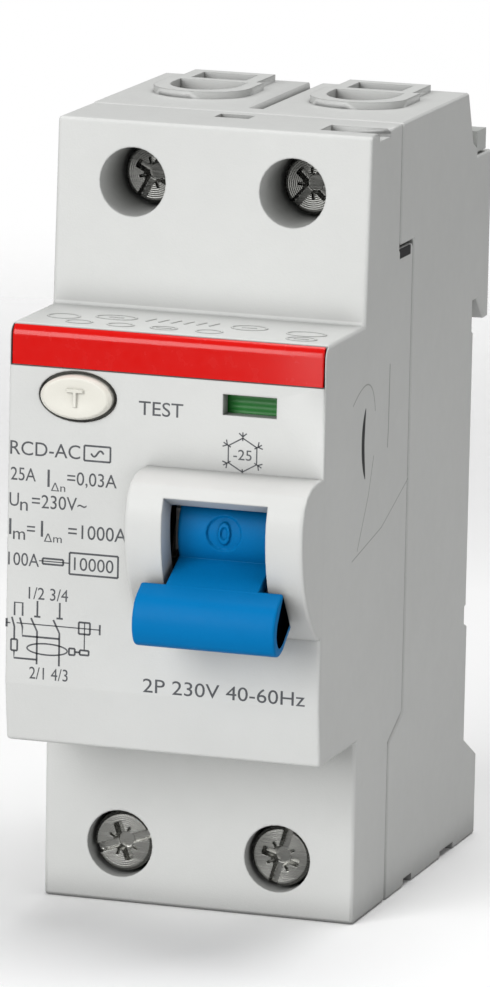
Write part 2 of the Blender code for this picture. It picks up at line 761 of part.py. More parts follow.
def lower_entries(base):
    """Opens one wire entry for each pole in the bottom, in line with the lower clamps."""
    start = FRONT + LOWER_SCREW_DEPTH + entry_depth()
    for side, pole_x in POLES:
        plan = [
            (pole_x - BAR_WIDTH / 2, start),
            (pole_x + BAR_WIDTH / 2, start),
            (pole_x + BAR_WIDTH / 2, start + WIRE_ROOM - FIT),
            (pole_x - BAR_WIDTH / 2, start + WIRE_ROOM - FIT),
        ]
        cut(base, prism(f"cut_lower_entry_{side}", plan, "Z", (-TOP - PAST, -TOP + WALL + PAST)))


def rear_base():
    """The rear shell: rail seat, fixed hooks, foot, wire entries and guides for both rail clips."""
    base = prism("rear_base", base_outline(), "X", (-SIDE, SIDE), HOUSING)
    soften(base, CORNER / 4, 1, 50.0)
    hollow = prism("cut_base_hollow", base_outline(WALL, PAST * 4), "X", (-SIDE + WALL, SIDE - WALL))
    cut(base, hollow)
    lane = SIDE - HOOK_RIB
    upper_lane = block(
        "cut_upper_clip_lane",
        (-lane, lane),
        (GAP, HOOK_DEPTH + PAST),
        (RAIL_TOP - PAST, HOOK_TOP + PAST),
    )
    lower_lane = block(
        "cut_lower_clip_lane",
        (-lane, lane),
        (STEP_BACK + GAP, HOOK_DEPTH + PAST),
        (-TOP - PAST, -RAIL_TOP - PAST),
    )
    cut(base, upper_lane, lower_lane)
    collars(base)
    lower_entries(base)
    groove = block(
        "cut_pole_groove",
        (-GROOVE_WIDTH / 2, GROOVE_WIDTH / 2),
        (FRONT + GROOVE_START, PAST),
        (TOP - GROOVE_DEPTH, TOP + PAST),
    )
    cut(base, groove)
    for number, (start, run, depth) in enumerate(FOOT_NOTCHES):
        y = (FRONT + start, FRONT + start + run)
        z = (-TOP - PAST, -TOP + depth)
        cut(base, block(f"cut_foot_notch_{number}", (-SIDE - PAST, SIDE + PAST), y, z))
    return base


# Controls


def test_button():
    """The oval TEST button with its raised T, flange and stem."""
    face = NOSE - BUTTON_PROUD
    middle = (BUTTON_X, BUTTON_Z)
    cap_plan = ellipse(middle, BUTTON_WIDTH, BUTTON_HEIGHT)
    button = prism("test_button", cap_plan, "Y", (face, NOSE_INNER + GAP), BUTTON_WHITE)
    soften(button, BUTTON_ROUND, 2, 50.0)
    flange_plan = ellipse(middle, BUTTON_WIDTH + 2 * BUTTON_FLANGE, BUTTON_HEIGHT + 2 * BUTTON_FLANGE)
    flange_span = (NOSE_INNER + GAP - FIT, NOSE_INNER + GAP + FLANGE_THICKNESS)
    flange = prism("help_button_flange", flange_plan, "Y", flange_span)
    stem_end = flange_span[1] + STEM_LENGTH
    start = flange_span[0] + FIT
    stem_middle = (BUTTON_X, (start + stem_end) / 2, BUTTON_Z)
    stem = rod("help_button_stem", stem_middle, "Y", STEM_RADIUS, stem_end - start, sides=SMALL_SIDES)
    mark = (face - MARK_RISE, face + GAP)
    half, low, high = MARK_WIDTH / 2, BUTTON_Z - MARK_HEIGHT / 2, BUTTON_Z + MARK_HEIGHT / 2
    bar = block("help_button_t_bar", (BUTTON_X - half, BUTTON_X + half), mark, (high - MARK_LINE, high))
    leg_x = (BUTTON_X - MARK_LINE / 2, BUTTON_X + MARK_LINE / 2)
    leg = block("help_button_t_leg", leg_x, mark, (low, high - MARK_LINE + FIT))
    join(button, flange, stem, bar, leg)
    around((BUTTON_X, face, BUTTON_Z), button)
    return flange_span[1], stem_end


def test_circuit(flange_back, stem_end):
    """The button's return spring, the leaf contact it presses, the series resistor and its lead."""
    leaf_front = stem_end + BUTTON_TRAVEL + GAP
    coil_room = leaf_front - flange_back - 2 * GAP - 0.6 * MM
    start = (BUTTON_X, flange_back + GAP + 0.3 * MM, BUTTON_Z)
    wire("test_button_spring", along_back(start, 1.9 * MM, coil_room, 4), 0.25 * MM, STEEL, 1)
    leaf_plan = rectangle((BUTTON_X, BUTTON_Z), LEAF_SIZE, LEAF_SIZE)
    leaf = prism("test_contact_leaf", leaf_plan, "Y", (leaf_front, leaf_front + LEAF_THICKNESS), BRASS)
    foot = block(
        "help_leaf_foot",
        (BUTTON_X - LEAF_SIZE / 2, BUTTON_X + LEAF_SIZE / 2),
        (leaf_front, leaf_front + LEAF_FOOT),
        (BUTTON_Z - LEAF_SIZE / 2 - LEAF_THICKNESS, BUTTON_Z - LEAF_SIZE / 2 + FIT),
    )
    join(leaf, foot)
    resistor_y = leaf_front + 4.2 * MM
    resistor_z = BUTTON_Z - 7.0 * MM
    middle = (BUTTON_X, resistor_y, resistor_z)
    body = rod("test_resistor", middle, "X", RESISTOR_RADIUS, RESISTOR_LENGTH, CREAM, SMALL_SIDES)
    soften(body, 0.4 * MM, 1, 50.0)
    end_x = BUTTON_X + RESISTOR_LENGTH / 2 + GAP
    lead = smooth_path(
        [
            (end_x, resistor_y, resistor_z),
            (end_x + 1.6 * MM, resistor_y, resistor_z),
            (end_x + 2.4 * MM, resistor_y + 2.0 * MM, resistor_z - 4.0 * MM),
            (end_x + 1.0 * MM, resistor_y + 4.0 * MM, resistor_z - 11.0 * MM),
            (end_x + 0.4 * MM, resistor_y + 5.0 * MM, resistor_z - 16.0 * MM),
        ]
    )
    wire("test_circuit_lead", lead, 0.35 * MM, BLACK, 1)


def contact_flag():
    """The sliding flag behind its window: one half shows while the contacts are open, the other after."""
    height = FLAG_WINDOW_HEIGHT + 2 * GAP + FLAG_TRAVEL
    half = FLAG_WINDOW_WIDTH / 2 + FLAG_LAP
    x = (FLAG_X - half, FLAG_X + half)
    y = (NOSE_INNER + GAP, NOSE_INNER + GAP + FLAG_THICKNESS)
    bottom = FLAG_Z - FLAG_WINDOW_HEIGHT / 2 - GAP
    flag = block("contact_flag", x, y, (bottom, bottom + height), FLAG_GREEN)
    soften(flag, 0.15 * MM, 1, 50.0)
    around((FLAG_X, y[0], FLAG_Z), flag)


def offsets(pairs):
    """(y, z) points for offsets in millimetres from the toggle axis, with the toggle down."""
    return [(AXIS_Y + y * MM, TOGGLE_AXIS_Z + z * MM) for y, z in pairs]


def toggle():
    """The blue toggle: a drum on the axle, the arm through the window and the folded paddle."""
    center = (AXIS_Y, TOGGLE_AXIS_Z)
    half = WINDOW_WIDTH / 2 - 0.6 * MM
    span = (TOGGLE_X - half, TOGGLE_X + half)
    drum = prism("toggle", arc(center, DRUM_RADIUS, -125, 125, 34), "X", span, TOGGLE_BLUE)
    arm = [(-3.3, -0.1), (-4.5, -2.4), (-8.9, -4.75), (-8.5, -6.1), (-3.7, -4.0), (-1.3, -2.9)]
    outer = [(-8.6, -4.6), (-10.6, -5.9), (-11.4, -7.5), (-11.6, -9.2), (-11.0, -10.6), (-9.7, -11.2)]
    tail = [(-8.5, -10.9), (-5.6, -8.7), (-6.1, -7.9)]
    inner = [(-8.6, -9.8), (-9.7, -10.0), (-10.4, -9.1), (-10.3, -7.9), (-9.7, -6.9), (-8.2, -5.9)]
    paddle_half = PADDLE_WIDTH / 2
    paddle_span = (TOGGLE_X - paddle_half, TOGGLE_X + paddle_half)
    join(
        drum,
        prism("help_toggle_arm", offsets(arm), "X", span),
        prism("help_toggle_paddle", offsets([*outer, *tail, *inner]), "X", paddle_span),
    )
    length = WINDOW_WIDTH + 2 * PAST
    bore = rod("cut_toggle_bore", (TOGGLE_X, *center), "X", AXLE_RADIUS + FIT, length, sides=SMALL_SIDES)
    seat_x = span[0] + SPRING_SEAT / 2 - PAST / 2
    seat = rod("cut_spring_seat", (seat_x, *center), "X", 4.0 * MM, SPRING_SEAT + PAST, sides=SMALL_SIDES)
    cut(drum, bore, seat)
    around((TOGGLE_X, *center), drum)
    return half


def toggle_mechanism(half):
    """The axle, its torsion spring, both frame plates, the trip lever on its pin and the main spring."""
    center = (AXIS_Y, TOGGLE_AXIS_Z)
    plate_in = half + GAP
    plate_out = plate_in + FRAME_PLATE
    axle_length = 2 * (plate_out + 0.4 * MM)
    axle = rod("toggle_axle", (TOGGLE_X, *center), "X", AXLE_RADIUS, axle_length, STEEL, SMALL_SIDES)
    soften(axle, 0.2 * MM, 1, 50.0)
    coil_start = (TOGGLE_X - half + 0.5 * MM, *center)
    wire("toggle_spring", helix(coil_start, "X", 2.9 * MM, 2.0 * MM, 3), 0.25 * MM, STEEL, 1)
    lever_center = (FRONT + LEVER_DEPTH, LEVER_Z)
    low, back = LEVER_Z - 2 * PIN_RADIUS, FRONT + PLATE_DEPTH
    plate_plan = [
        (AXIS_Y - 2.2 * MM, TOGGLE_AXIS_Z - 2.2 * MM),
        (NOSE_INNER + 0.8 * MM, TOGGLE_AXIS_Z - 5.0 * MM),
        (FRONT + 8.0 * MM, low),
        (back, low),
        (back, TOGGLE_AXIS_Z + 7.0 * MM),
        (FRONT - 6.0 * MM, TOGGLE_AXIS_Z + 7.6 * MM),
        (NOSE_INNER + 0.8 * MM, TOGGLE_AXIS_Z + 5.0 * MM),
        (AXIS_Y - 2.2 * MM, TOGGLE_AXIS_Z + 2.2 * MM),
    ]
    for side, sign in (("left", -1), ("right", 1)):
        span = sorted((TOGGLE_X + sign * plate_in, TOGGLE_X + sign * plate_out))
        plate = prism(f"frame_plate_{side}", plate_plan, "X", span, STEEL)
        for hole, radius, at in (("axle", AXLE_RADIUS, center), ("pin", PIN_RADIUS, lever_center)):
            middle = (sum(span) / 2, *at)
            length = FRAME_PLATE + 2 * PAST
            cut(plate, rod(f"cut_{side}_{hole}_hole", middle, "X", radius + FIT, length, sides=SMALL_SIDES))
    pin = rod("trip_lever_pin", (TOGGLE_X, *lever_center), "X", PIN_RADIUS, axle_length, STEEL, SMALL_SIDES)
    soften(pin, 0.15 * MM, 1, 50.0)
    trip_lever(lever_center)
    start = (TOGGLE_X - 3.4 * MM, FRONT + 5.4 * MM, TOGGLE_AXIS_Z + 4.6 * MM)
    wire("main_spring", along_back(start, 1.5 * MM, 11.0 * MM, 7), 0.3 * MM, STEEL, 1)


def along_back(start, radius, length, turns):
    """Points of a coil that runs from its start point towards the back."""
    return [(x, 2 * start[1] - y, z) for x, y, z in helix(start, "Y", radius, length, turns)]


def trip_lever(center):
    """The latch lever on its pin under the push rod, with a tail that passes below a plate to the relay."""
    y, z = center
    plan = [
        (y - LEVER_REACH, z - LEVER_DROP),
        (y + 1.0 * MM, z - LEVER_DROP),
        (y + 4.4 * MM, z - 1.7 * MM),
        (y + 4.4 * MM, z + 0.2 * MM),
        (y + 2.0 * MM, z + LEVER_CREST),
        (y - 2.0 * MM, z + LEVER_CREST),
    ]
    span = (TOGGLE_X - LEVER_WIDTH / 2, TOGGLE_X + LEVER_WIDTH / 2)
    lever = prism("trip_lever", plan, "X", span, BLACK)
    tail_z = (z - LEVER_DROP, z - LEVER_DROP + LEVER_TAIL)
    tail_y = (y - LEVER_REACH + FIT, y + 0.8 * MM)
    join(lever, block("help_lever_tail", (RELAY_X - 1.6 * MM, span[0] + FIT), tail_y, tail_z))
    length = span[1] - span[0] + 2 * PAST
    cut(lever, rod("cut_lever_hole", (TOGGLE_X, y, z), "X", PIN_RADIUS + FIT, length, sides=SMALL_SIDES))
    around((TOGGLE_X, y, z), lever)


def contact_tip(name, x, y):
    """One round silver contact tip."""
    return rod(name, (x, y, CONTACT_Z), "Y", CONTACT_RADIUS, CONTACT_THICKNESS, SILVER, SMALL_SIDES)


def contact_system():
    """The sliding carrier with its push rod, both moving contacts and springs, and the fixed contacts."""
    half = CARRIER_SIZE / 2
    rod_span = (AXIS_Y + DRUM_RADIUS + CARRIER_TRAVEL + 1.0 * MM, CARRIER_Y - half + FIT)
    rod_z = LEVER_Z + PUSH_ROD_RISE
    rod_x = (TOGGLE_X - PUSH_ROD / 2, TOGGLE_X + PUSH_ROD / 2)
    carrier = block(
        "contact_carrier",
        (-SIDE + WALL + GAP, SIDE - WALL - GAP),
        (CARRIER_Y - half, CARRIER_Y + half),
        (CARRIER_Z - half, CARRIER_Z + half),
        BLACK,
    )
    push = block("help_push_rod", rod_x, rod_span, (rod_z - PUSH_ROD / 2, rod_z + PUSH_ROD / 2))
    drop = block(
        "help_push_rod_drop",
        rod_x,
        (rod_span[1] - 1.6 * MM, rod_span[1]),
        (rod_z - PUSH_ROD / 2, CARRIER_Z),
    )
    join(carrier, push, drop)
    moving = [carrier]
    bar_back = FRONT + UPPER_SCREW_DEPTH + bar_depth() + BAR_THICKNESS
    tip_back = bar_back + 2 * FIT + CONTACT_THICKNESS
    arm_front = tip_back + CARRIER_TRAVEL + CONTACT_THICKNESS + 2 * GAP
    for side, pole_x in POLES:
        arm_z = (CARRIER_Z + half + GAP, CONTACT_Z + 2.4 * MM)
        arm = block(
            f"moving_contact_arm_{side}",
            (pole_x - ARM_WIDTH / 2, pole_x + ARM_WIDTH / 2),
            (arm_front, arm_front + ARM_THICKNESS),
            arm_z,
            COPPER,
        )
        soften(arm, 0.25 * MM, 1, 50.0)
        tip_y = arm_front - FIT - CONTACT_THICKNESS / 2
        tip = contact_tip(f"moving_contact_tip_{side}", pole_x, tip_y)
        coil_start = (pole_x, arm_front + ARM_THICKNESS + GAP + 0.3 * MM, CARRIER_Z + half + 2.2 * MM)
        coil = along_back(coil_start, 1.3 * MM, 2.6 * MM, 3)
        spring = wire(f"contact_spring_{side}", coil, 0.25 * MM, STEEL, 1)
        fixed_y = bar_back + FIT + CONTACT_THICKNESS / 2
        contact_tip(f"fixed_contact_tip_{side}", pole_x, fixed_y)
        moving += [arm, tip, spring]
    around((0.0, CARRIER_Y, CARRIER_Z), *moving)


# Terminals


def bar_depth():
    """How far the terminal bar's front lies behind the screw head's front."""
    return HEAD_HEIGHT + SHANK_LENGTH + GAP


def entry_depth():
    """How far the room for the wire starts behind the screw head's front."""
    return bar_depth() + BAR_THICKNESS


def terminal_screw(name, x, z, depth):
    """One captive clamp screw with a slot and a cross in its head."""
    face = FRONT + depth
    bevel = HEAD_BEVEL
    profile = [
        (0.0, 0.0),
        (HEAD_RADIUS - bevel, 0.0),
        (HEAD_RADIUS, -bevel),
        (HEAD_RADIUS, -HEAD_HEIGHT),
        (SHANK_RADIUS, -HEAD_HEIGHT),
        (SHANK_RADIUS, -HEAD_HEIGHT - SHANK_LENGTH + bevel),
        (SHANK_RADIUS - bevel, -HEAD_HEIGHT - SHANK_LENGTH),
        (0.0, -HEAD_HEIGHT - SHANK_LENGTH),
    ]
    screw = turned(f"terminal_screw_{name}", profile, (x, face, z), "Y", STEEL, SMALL_SIDES)
    reach, half = HEAD_RADIUS + PAST, SLOT_WIDTH / 2
    y = (face - PAST, face + SLOT_DEPTH)
    slot = block(f"cut_slot_{name}", (x - reach, x + reach), y, (z - half, z + half))
    reach, half = CROSS_LENGTH / 2, CROSS_WIDTH / 2
    y = (face - PAST, face + SLOT_DEPTH + FIT)
    cross = block(f"cut_cross_{name}", (x - half, x + half), y, (z - reach, z + reach))
    cut(screw, slot, cross)
    return screw


def terminal_cage(name, x, z, depth):
    """One lift cage: a threaded front, two sides and a floor that draws the wire up to the bar."""
    nut_back = FRONT + depth + bar_depth() - GAP
    front = nut_back - CAGE_NUT
    back = nut_back + GAP + BAR_THICKNESS + WIRE_ROOM + CAGE_WALL
    half_x, half_z = CAGE_WIDTH / 2, CAGE_HEIGHT / 2
    x_span, z_span = (x - half_x, x + half_x), (z - half_z, z + half_z)
    cage = block(f"terminal_cage_{name}", x_span, (front, back), z_span, STEEL)
    soften(cage, 0.4 * MM, 1, 50.0)
    room = block(
        f"cut_cage_room_{name}",
        (x - half_x + CAGE_WALL, x + half_x - CAGE_WALL),
        (nut_back, back - CAGE_WALL),
        (z - half_z - PAST, z + half_z + PAST),
    )
    nut = (x, nut_back - CAGE_NUT / 2, z)
    thread = rod(f"cut_cage_thread_{name}", nut, "Y", SHANK_RADIUS + FIT, CAGE_NUT + PAST, sides=SMALL_SIDES)
    cut(cage, room, thread)
    around((x, front, z), cage)


def terminal_bar(name, x, sign, depth, inner_z):
    """One terminal bar: from its clamp straight down, or up, into the case."""
    front = FRONT + depth + bar_depth()
    z = sorted((sign * (TERMINAL_Z + CAGE_HEIGHT / 2 - FIT), sign * inner_z))
    bar = block(f"{name}", (x - BAR_WIDTH / 2, x + BAR_WIDTH / 2), (front, front + BAR_THICKNESS), z, COPPER)
    soften(bar, 0.3 * MM, 1, 50.0)


def lower_bar_end():
    """How far below the middle a lower bar ends."""
    return NOSE_TOP + BAR_END


def pole_barrier(name, sign, depth):
    """The wall between two poles' clamps."""
    y = (FRONT + depth + HEAD_HEIGHT, -SHOULDER_RUN - WALL - 2 * GAP)
    z = sorted((sign * (TOP - WALL - GAP), sign * (TERMINAL_Z - CAGE_HEIGHT / 2 - BARRIER_OVERLAP)))
    block(name, (-BARRIER_THICKNESS / 2, BARRIER_THICKNESS / 2), y, z, HOUSING)


def terminal_set():
    """All four terminals, their bars and the barriers between the poles."""
    for name, x, z, depth, sign in terminals():
        terminal_screw(name, x, z, depth)
        terminal_cage(name, x, z, depth)
        inner = CONTACT_Z - CONTACT_RADIUS - 0.8 * MM if sign > 0 else lower_bar_end()
        terminal_bar(f"terminal_bar_{name}", x, sign, depth, inner)
    pole_barrier("upper_pole_barrier", 1, UPPER_SCREW_DEPTH)
    pole_barrier("lower_pole_barrier", -1, LOWER_SCREW_DEPTH + bar_depth())


# Residual current sensing


def sensor():
    """The ring core, its winding, both conductors through it, and the trip relay with its plunger."""
    half = RING_HEIGHT / 2
    ring = [(RING_OUTER, half), (RING_OUTER, -half), (RING_INNER, -half), (RING_INNER, half)]
    turned("sensor_core", ring, (0.0, RING_Y, RING_Z), "Z", CORE_BLUE, 36)
    room = GAP
    winding_steps = 12
    outer = [
        (RING_OUTER + room + WINDING_WALL, half + room + WINDING_WALL),
        (RING_OUTER + room + WINDING_WALL, -half - room - WINDING_WALL),
        (RING_INNER - room - WINDING_WALL, -half - room - WINDING_WALL),
        (RING_INNER - room - WINDING_WALL, half + room + WINDING_WALL),
    ]
    winding = winding_sleeve(outer, winding_steps)
    for side, sign in (("left", -1), ("right", 1)):
        bar_y = FRONT + LOWER_SCREW_DEPTH + entry_depth() + CABLE_RADIUS + FIT
        bar_z = -lower_bar_end() - 3.0 * MM
        through_x = sign * CABLE_SPREAD
        path = smooth_path(
            [
                (sign * POLE_OFFSET, RING_Y + 3.4 * MM, CARRIER_Z - CARRIER_SIZE / 2 - 1.2 * MM),
                (sign * (CABLE_SPREAD + CABLE_BEND), RING_Y + 2.4 * MM, CARRIER_Z - CARRIER_SIZE / 2 - 5.0 * MM),
                (through_x, RING_Y, RING_Z + half + 1.0 * MM),
                (through_x, RING_Y, RING_Z),
                (through_x, RING_Y, RING_Z - half - 1.0 * MM),
                (sign * (CABLE_SPREAD + CABLE_BEND - 1.0 * MM), RING_Y - 5.0 * MM, RING_Z - half - 3.2 * MM),
                (sign * POLE_OFFSET, bar_y + 1.2 * MM, bar_z + 2.2 * MM),
                (sign * POLE_OFFSET, bar_y, bar_z),
            ]
        )
        wire(f"pole_conductor_{side}", path, CABLE_RADIUS, COPPER, 2)
    trip_relay()
    return winding


def winding_sleeve(outer, steps):
    """A sleeve of winding round part of the ring, left open at both of its ends."""
    turn = radians(WINDING_DEG)
    start = pi / 2 - turn / 2
    sleeve = turned("sensor_winding", outer, (0.0, RING_Y, RING_Z), "Z", ENAMEL, steps, turn)
    sleeve.rotation_euler = (0.0, 0.0, start)
    mesh_of_arc(sleeve)
    inwards = ((-1, -1), (-1, 1), (1, 1), (1, -1))
    room = [(r + s * WINDING_WALL, h + t * WINDING_WALL) for (r, h), (s, t) in zip(outer, inwards)]
    inner = turned("cut_winding_room", room, (0.0, RING_Y, RING_Z), "Z", None, ROUND_SIDES + 4)
    cut(sleeve, inner)
    return sleeve


def mesh_of_arc(obj):
    """Turns a part-turn Screw into a closed mesh by filling the section at both of its ends."""
    graph = bpy.context.evaluated_depsgraph_get()
    mesh = bpy.data.meshes.new_from_object(obj.evaluated_get(graph))
    bm = bmesh.new()
    bm.from_mesh(mesh)
    bmesh.ops.holes_fill(bm, edges=[e for e in bm.edges if e.is_boundary], sides=0)
    bmesh.ops.recalc_face_normals(bm, faces=bm.faces)
    bm.to_mesh(mesh)
    bm.free()
    obj.modifiers.clear()
    obj.data = mesh


def trip_relay():
    """The sealed trip relay and the plunger on its top, and the leads from the winding."""
    x = (RELAY_X - RELAY_WIDTH / 2, RELAY_X + RELAY_WIDTH / 2)
    y = (FRONT + RELAY_START, FRONT + RELAY_START + RELAY_DEPTH)
    z = (-NOSE_TOP + WALL + RELAY_CLEARANCE, LEVER_Z - RELAY_DROP)
    relay = block("trip_relay", x, y, z, BLACK)
    soften(relay, 0.5 * MM, 2, 50.0)
    plunger_y = FRONT + LEVER_DEPTH - PLUNGER_BACK
    mouth = (RELAY_X, plunger_y, z[1])
    cut(relay, rod("cut_relay_hole", mouth, "Z", PLUNGER_RADIUS + FIT, 6.0 * MM, sides=SMALL_SIDES))
    span = (z[1] - PLUNGER_SUNK, LEVER_Z - LEVER_DROP - GAP)
    middle = (RELAY_X, plunger_y, sum(span) / 2)
    plunger = rod("relay_plunger", middle, "Z", PLUNGER_RADIUS, span[1] - span[0], STEEL, SMALL_SIDES)
    around(mouth, plunger)
    leads = smooth_path(
        [
            (RELAY_X + 2.0 * MM, y[1] + GAP, z[0] + 4.0 * MM),
            (RELAY_X + 2.0 * MM, y[1] + 3.0 * MM, z[0] + 4.0 * MM),
            (RELAY_X - 3.0 * MM, y[1] + 9.0 * MM, RING_Z - 1.0 * MM),
            (RELAY_X - 3.4 * MM, RING_Y + 6.0 * MM, RING_Z),
            (RELAY_X - 2.6 * MM, RING_Y + 8.6 * MM, RING_Z),
        ]
    )
    wire("relay_leads", leads, 0.4 * MM, ENAMEL, 1)


# Rail clips


def rail_clips():
    """The upper and lower sliding clips that hold the device on a rail, and their springs."""
    lane = SIDE - HOOK_RIB - GAP
    lip = RAIL_LIP + GAP + 0.1 * MM
    back = lip + CLIP_THICKNESS
    upper_plan = [
        (2 * GAP, HOOK_TOP + GAP),
        (2 * GAP, RAIL_TOP + HOOK_THICKNESS),
        (lip, RAIL_TOP + HOOK_THICKNESS),
        (lip, RAIL_TOP - HOOK_BITE),
        (back, RAIL_TOP - HOOK_BITE),
        (back, HOOK_TOP + GAP),
    ]
    upper = prism("upper_rail_clip", upper_plan, "X", (-lane, lane), CLIP_GREY)
    handle_z = (HOOK_TOP + GAP, HOOK_TOP + GAP + CLIP_HANDLE)
    handle = block("help_upper_handle", (-SIDE + GAP, SIDE - GAP), (2 * GAP, back), handle_z)
    join(upper, handle)
    pocket_z = (RAIL_TOP + 3.6 * MM, RAIL_TOP + 10.6 * MM)
    pocket = block("cut_upper_spring_pocket", (-2.2 * MM, 2.2 * MM), (lip + FIT, back + PAST), pocket_z)
    cut(upper, pocket)
    step = STEP_BACK
    lower_plan = [
        (step + 2 * GAP, -TOP + CLIP_RAISE),
        (back + step, -TOP + CLIP_RAISE),
        (back + step, -RAIL_TOP + HOOK_BITE - 1.0 * MM),
        (lip + 0.6 * MM, -RAIL_TOP + HOOK_BITE),
        (lip, -RAIL_TOP + HOOK_BITE),
        (lip, -RAIL_TOP - 1.0 * MM),
        (step + 2 * GAP, -RAIL_TOP - 1.0 * MM),
    ]
    lower = prism("lower_rail_clip", lower_plan, "X", (-lane, lane), CLIP_GREY)
    low_pocket_z = (-RAIL_TOP - 14.0 * MM, -RAIL_TOP - 5.0 * MM)
    low_pocket_y = (lip + step, back + step + PAST)
    low_pocket = block("cut_lower_spring_pocket", (-2.6 * MM, 2.6 * MM), low_pocket_y, low_pocket_z)
    cut(lower, low_pocket)
    coil_y = lip + step + 1.5 * MM
    for name, z in (("upper_clip_spring", pocket_z), ("lower_clip_spring", low_pocket_z)):
        room = z[1] - z[0] - 1.2 * MM
        y = coil_y if name.startswith("lower") else coil_y - step + FIT
        coil = helix((0.0, y, z[0] + 0.6 * MM), "Z", CLIP_SPRING_RADIUS, room, 6)
        wire(name, coil, 0.25 * MM, STEEL, 1)
    around((0.0, lip, RAIL_TOP), upper)
    around((0.0, lip, -RAIL_TOP), lower)


def build():
    """Makes every piece of the device."""
    front_cover()
    rear_base()
    red_stripe()
    test_circuit(*test_button())
    contact_flag()
    toggle_mechanism(toggle())
    contact_system()
    terminal_set()
    sensor()
    rail_clips()


build()
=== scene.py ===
"""Looks of a two-module residual current device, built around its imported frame.

Every size in a class's fields is in millimetres unless its name says otherwise. X runs to the right,
Y to the rear and Z up, with Y = 0 on the rail seat and Z = 0 on the rail's centre line.
"""

import logging
from dataclasses import dataclass, field
from enum import Enum
from math import cos, pi, radians, sin
from typing import Callable, Sequence

import bmesh
import bpy
import numpy as np
from mathutils import Matrix, Vector


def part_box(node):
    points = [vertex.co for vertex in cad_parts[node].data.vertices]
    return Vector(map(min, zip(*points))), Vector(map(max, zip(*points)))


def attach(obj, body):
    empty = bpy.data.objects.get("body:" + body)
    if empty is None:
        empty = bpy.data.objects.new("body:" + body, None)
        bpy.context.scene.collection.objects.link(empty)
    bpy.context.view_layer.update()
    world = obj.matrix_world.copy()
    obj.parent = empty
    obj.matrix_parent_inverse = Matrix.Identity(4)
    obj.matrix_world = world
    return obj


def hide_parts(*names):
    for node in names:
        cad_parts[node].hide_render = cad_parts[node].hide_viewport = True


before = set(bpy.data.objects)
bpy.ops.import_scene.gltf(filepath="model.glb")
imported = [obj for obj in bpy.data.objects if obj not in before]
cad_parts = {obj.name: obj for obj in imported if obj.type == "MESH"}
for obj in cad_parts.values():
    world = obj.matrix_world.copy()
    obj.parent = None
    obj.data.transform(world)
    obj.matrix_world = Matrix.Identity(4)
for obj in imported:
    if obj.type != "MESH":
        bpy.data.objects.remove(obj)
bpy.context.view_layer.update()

LOG = logging.getLogger("residual_current_device")
MM = 0.001
Array = np.ndarray
Color = tuple[float, float, float]
Path = tuple[tuple[float, float], ...]
Material, Mesh = bpy.types.Material, bpy.types.Mesh
Socket, Tree = bpy.types.NodeSocket, bpy.types.NodeTree


# ---------------------------------------------------------------- options


class Side(Enum):
    """The two poles, by the sign of their place along X."""

    LEFT = -1
    RIGHT = 1


class Row(Enum):
    """The two rows of terminals, by the sign of their place along Z."""

    UPPER = 1
    LOWER = -1


class Polish(Enum):
    """How a bare metal was finished, by its roughness."""

    CONTACT = 0.22
    PLATED = 0.3
    DRAWN = 0.4


# ---------------------------------------------------------------- colour


def linear(red: int, green: int, blue: int) -> Color:
    """Turns 8-bit screen values into linear ones.

    Each channel c becomes ((c / 255 + 0.055) / 1.055) to the power 2.4.

    Args:
        red: red, 0 to 255.
        green: green, 0 to 255.
        blue: blue, 0 to 255.

    Returns:
        The linear colour.
    """
    channels = (np.array([red, green, blue]) / 255 + 0.055) / 1.055
    return tuple(float(c) for c in channels**2.4)


# ---------------------------------------------------------------- shader groups


def new_group(name: str, inputs: dict[str, float], outputs: Sequence[str]) -> Tree:
    """Makes an empty shader group with a vector input, named value inputs and named value outputs.

    Args:
        name: the group's name.
        inputs: each value input's name and default.
        outputs: the names of the value outputs.

    Returns:
        The group's node tree, with its input and output nodes in place.
    """
    tree = bpy.data.node_groups.new(name, "ShaderNodeTree")
    tree.interface.new_socket("Vector", in_out="INPUT", socket_type="NodeSocketVector")
    for label, default in inputs.items():
        socket = tree.interface.new_socket(label, in_out="INPUT", socket_type="NodeSocketFloat")
        socket.default_value = default
    for label in outputs:
        tree.interface.new_socket(label, in_out="OUTPUT", socket_type="NodeSocketFloat")
    tree.nodes.new("NodeGroupInput").name = "In"
    tree.nodes.new("NodeGroupOutput").name = "Out"
    return tree


def noise(tree: Tree, vector: Socket, scale: float, detail: float = 2.0) -> Socket:
    """Adds a noise texture on a vector.

    Args:
        tree: the tree it goes in.
        vector: the coordinates it reads.
        scale: waves per metre.
        detail: octaves of finer noise.

    Returns:
        Its value, 0 to 1.
    """
    node = tree.nodes.new("ShaderNodeTexNoise")
    node.inputs["Scale"].default_value = scale
    node.inputs["Detail"].default_value = detail
    tree.links.new(vector, node.inputs["Vector"])
    return node.outputs["Fac"]


def maths(
    tree: Tree,
    operation: str,
    first: Socket | float,
    second: Socket | float = 0.0,
) -> Socket:
    """Adds a math node on two sockets or numbers.

    Args:
        tree: the tree it goes in.
        operation: the node's operation.
        first: its first value.
        second: its second value.

    Returns:
        The result.
    """
    node = tree.nodes.new("ShaderNodeMath")
    node.operation = operation
    for socket, value in zip(node.inputs, (first, second)):
        if isinstance(value, Socket):
            tree.links.new(value, socket)
        else:
            socket.default_value = value
    return node.outputs[0]


